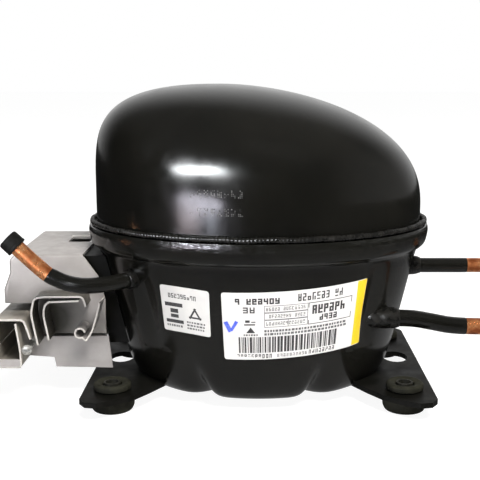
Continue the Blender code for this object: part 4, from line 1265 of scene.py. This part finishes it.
def dress_cad_nodes():
    dress(["foot_plate_left", "foot_plate_right"], FOOT_PAINT, 0.5)
    dress(["terminal_fence"], FOOT_PAINT, 0.3)
    dress(["cover_bracket"], ZINC, 0.2)
    dress([f"grommet_sleeve_{corner}" for corner in CORNERS], DARK_STEEL, 0.2)
    dress([f"spring_{corner}" for corner in CORNERS], STEEL)
    dress(["terminal_header"], DARK_STEEL, 0.3)
    dress(["terminal_pin_common", "terminal_pin_run", "terminal_pin_start"], STEEL, 0.2)
    dress(["start_relay", "overload_protector"], RELAY_PLASTIC, 0.4)
    dress(["cylinder_block", "cylinder_head", "crankshaft", "discharge_muffler"], CAST_IRON, 0.4)
    dress(["valve_plate", "thrust_washer", "oil_pickup"], STEEL, 0.15)
    dress(["oil_passage_plug", "slide_block"], STEEL, 0.15)
    dress(["piston_yoke", "rotor"], ALUMINIUM, 0.3)
    dress(["stator_core"], LAMINATION, 0.2)
    dress(["stator_winding_upper", "stator_winding_lower"], WINDING)
    dress(["suction_muffler"], MUFFLER_PLASTIC, 0.6)
    dress(["head_gasket"], GASKET_FIBRE)
    dress(["discharge_loop"], COPPER)


# ---- studio


def make_floor():
    """A large plain pale floor. It glows for the camera, so that shadows on it stay faint, and is
    mirrored in the gloss as a floor whose light falls off with distance."""
    half = FLOOR_HALF
    corners = [(-half, -half, 0), (half, -half, 0), (half, half, 0), (-half, half, 0)]
    floor = placed("floor", mesh_of("floor", corners, [(0, 1, 2, 3)]))
    paper = Finish("floor_paper", specular=0.1)
    paper.into("Roughness", 0.8)
    shade = paper.between(paper.noise(900, 2), (0.9, 0.9, 0.895), (0.92, 0.92, 0.915))
    paper.into("Base Color", shade)

    def mixed(share, first, second):
        inputs = {0: share, 1: first.outputs[0], 2: second.outputs[0]}
        return paper.node("ShaderNodeMixShader", inputs)

    rays = paper.node("ShaderNodeLightPath").outputs
    glow = paper.node("ShaderNodeEmission", {"Color": WHITE, "Strength": FLOOR_GLOW})
    seen = paper.combine("MULTIPLY", rays["Is Camera Ray"], FLOOR_GLOW_SHARE)
    near = paper.node("ShaderNodeVectorMath", {0: paper.place}, operation="LENGTH")
    fall = paper.ramp(near.outputs["Value"], 0.12, 0.45, 0.4, 0.02)
    mirrored = paper.node("ShaderNodeEmission", {"Strength": fall})
    out = mixed(rays["Is Glossy Ray"], mixed(seen, paper.shader, glow), mirrored)
    paper.feed(paper.tree.nodes["Material Output"].inputs["Surface"], out.outputs[0])
    floor.data.materials.append(paper.material)


def make_world():
    """White surroundings for the eye, dimmer ones as fill, and in the gloss a room that is bright
    behind and to the right and dark in front."""
    world = bpy.data.worlds.new("studio")
    world.use_nodes = True
    bpy.context.scene.world = world
    sky = Nodes(world.node_tree)
    rays = sky.node("ShaderNodeLightPath").outputs
    direction = sky.node("ShaderNodeTexCoord").outputs["Generated"]
    axes = sky.node("ShaderNodeSeparateXYZ", {0: direction}).outputs

    def spread(axis, *levels):
        return sky.ramp(axes[axis], *levels, interpolation_type="SMOOTHSTEP")

    def added(a, b):
        return sky.combine("ADD", a, b)

    def times(a, b):
        return sky.combine("MULTIPLY", a, b)

    behind = times(spread("Y", 0.3, 0.95, 0.0, 1.0), spread("Z", -0.2, 0.35, 0.5, 1.0))
    beside = spread("X", 0.6, 1.0, 0.0, 0.3)
    above = spread("Z", 0.3, 0.95, 0.0, 0.14)
    room = added(added(behind, beside), added(above, ROOM_GLOW))
    gloss = rays["Is Glossy Ray"]
    plain = added(times(rays["Is Camera Ray"], 1.0 - WORLD_FILL), WORLD_FILL)
    dull = times(plain, sky.combine("SUBTRACT", 1.0, gloss))
    backdrop = sky.tree.nodes["Background"].inputs
    sky.feed(backdrop["Color"], WHITE)
    sky.feed(backdrop["Strength"], added(dull, times(room, gloss)))


def make_lamp(name, place, target, size, power, colour, roll, gloss_only=True):
    """A lamp that the camera doesn't see. It shows only in the gloss, or only shines."""
    data = bpy.data.lights.new(name, "AREA")
    data.shape = "ELLIPSE" if gloss_only else "RECTANGLE"
    data.size, data.size_y = size
    data.energy = power
    data.color = colour
    lamp = placed(name, data)
    lamp.location = place
    aim = (Vector(target) - Vector(place)).to_track_quat("-Z", "Y")
    lamp.rotation_euler = (aim @ Quaternion((0, 0, 1), roll)).to_euler()
    lamp.visible_camera = False
    lamp.visible_glossy = gloss_only
    lamp.visible_diffuse = not gloss_only


def make_studio():
    make_world()
    for lamp in GLOSS_LAMPS:
        make_lamp(*lamp)
    make_lamp(*KEY_LAMP, gloss_only=False)
    bpy.context.scene.view_settings.view_transform = "Standard"


def make_camera():
    data = bpy.data.cameras.new("camera")
    data.sensor_width = CAMERA_SENSOR
    data.lens = CAMERA_LENS
    data.shift_x = CAMERA_SHIFT
    camera = placed("camera", data)
    camera.location = CAMERA_PLACE
    camera.rotation_euler = (math.pi / 2 - CAMERA_PITCH, 0, 0)
    bpy.context.scene.camera = camera


make_camera()
make_pot()
make_dome()
make_seam_bead()
make_stamp()
make_tubes()
make_grommets()
make_box_cover()
make_straps()
make_cord_clamp()
make_screw()
make_rating_label()
make_side_label()
dress_cad_nodes()
make_floor()
make_studio()
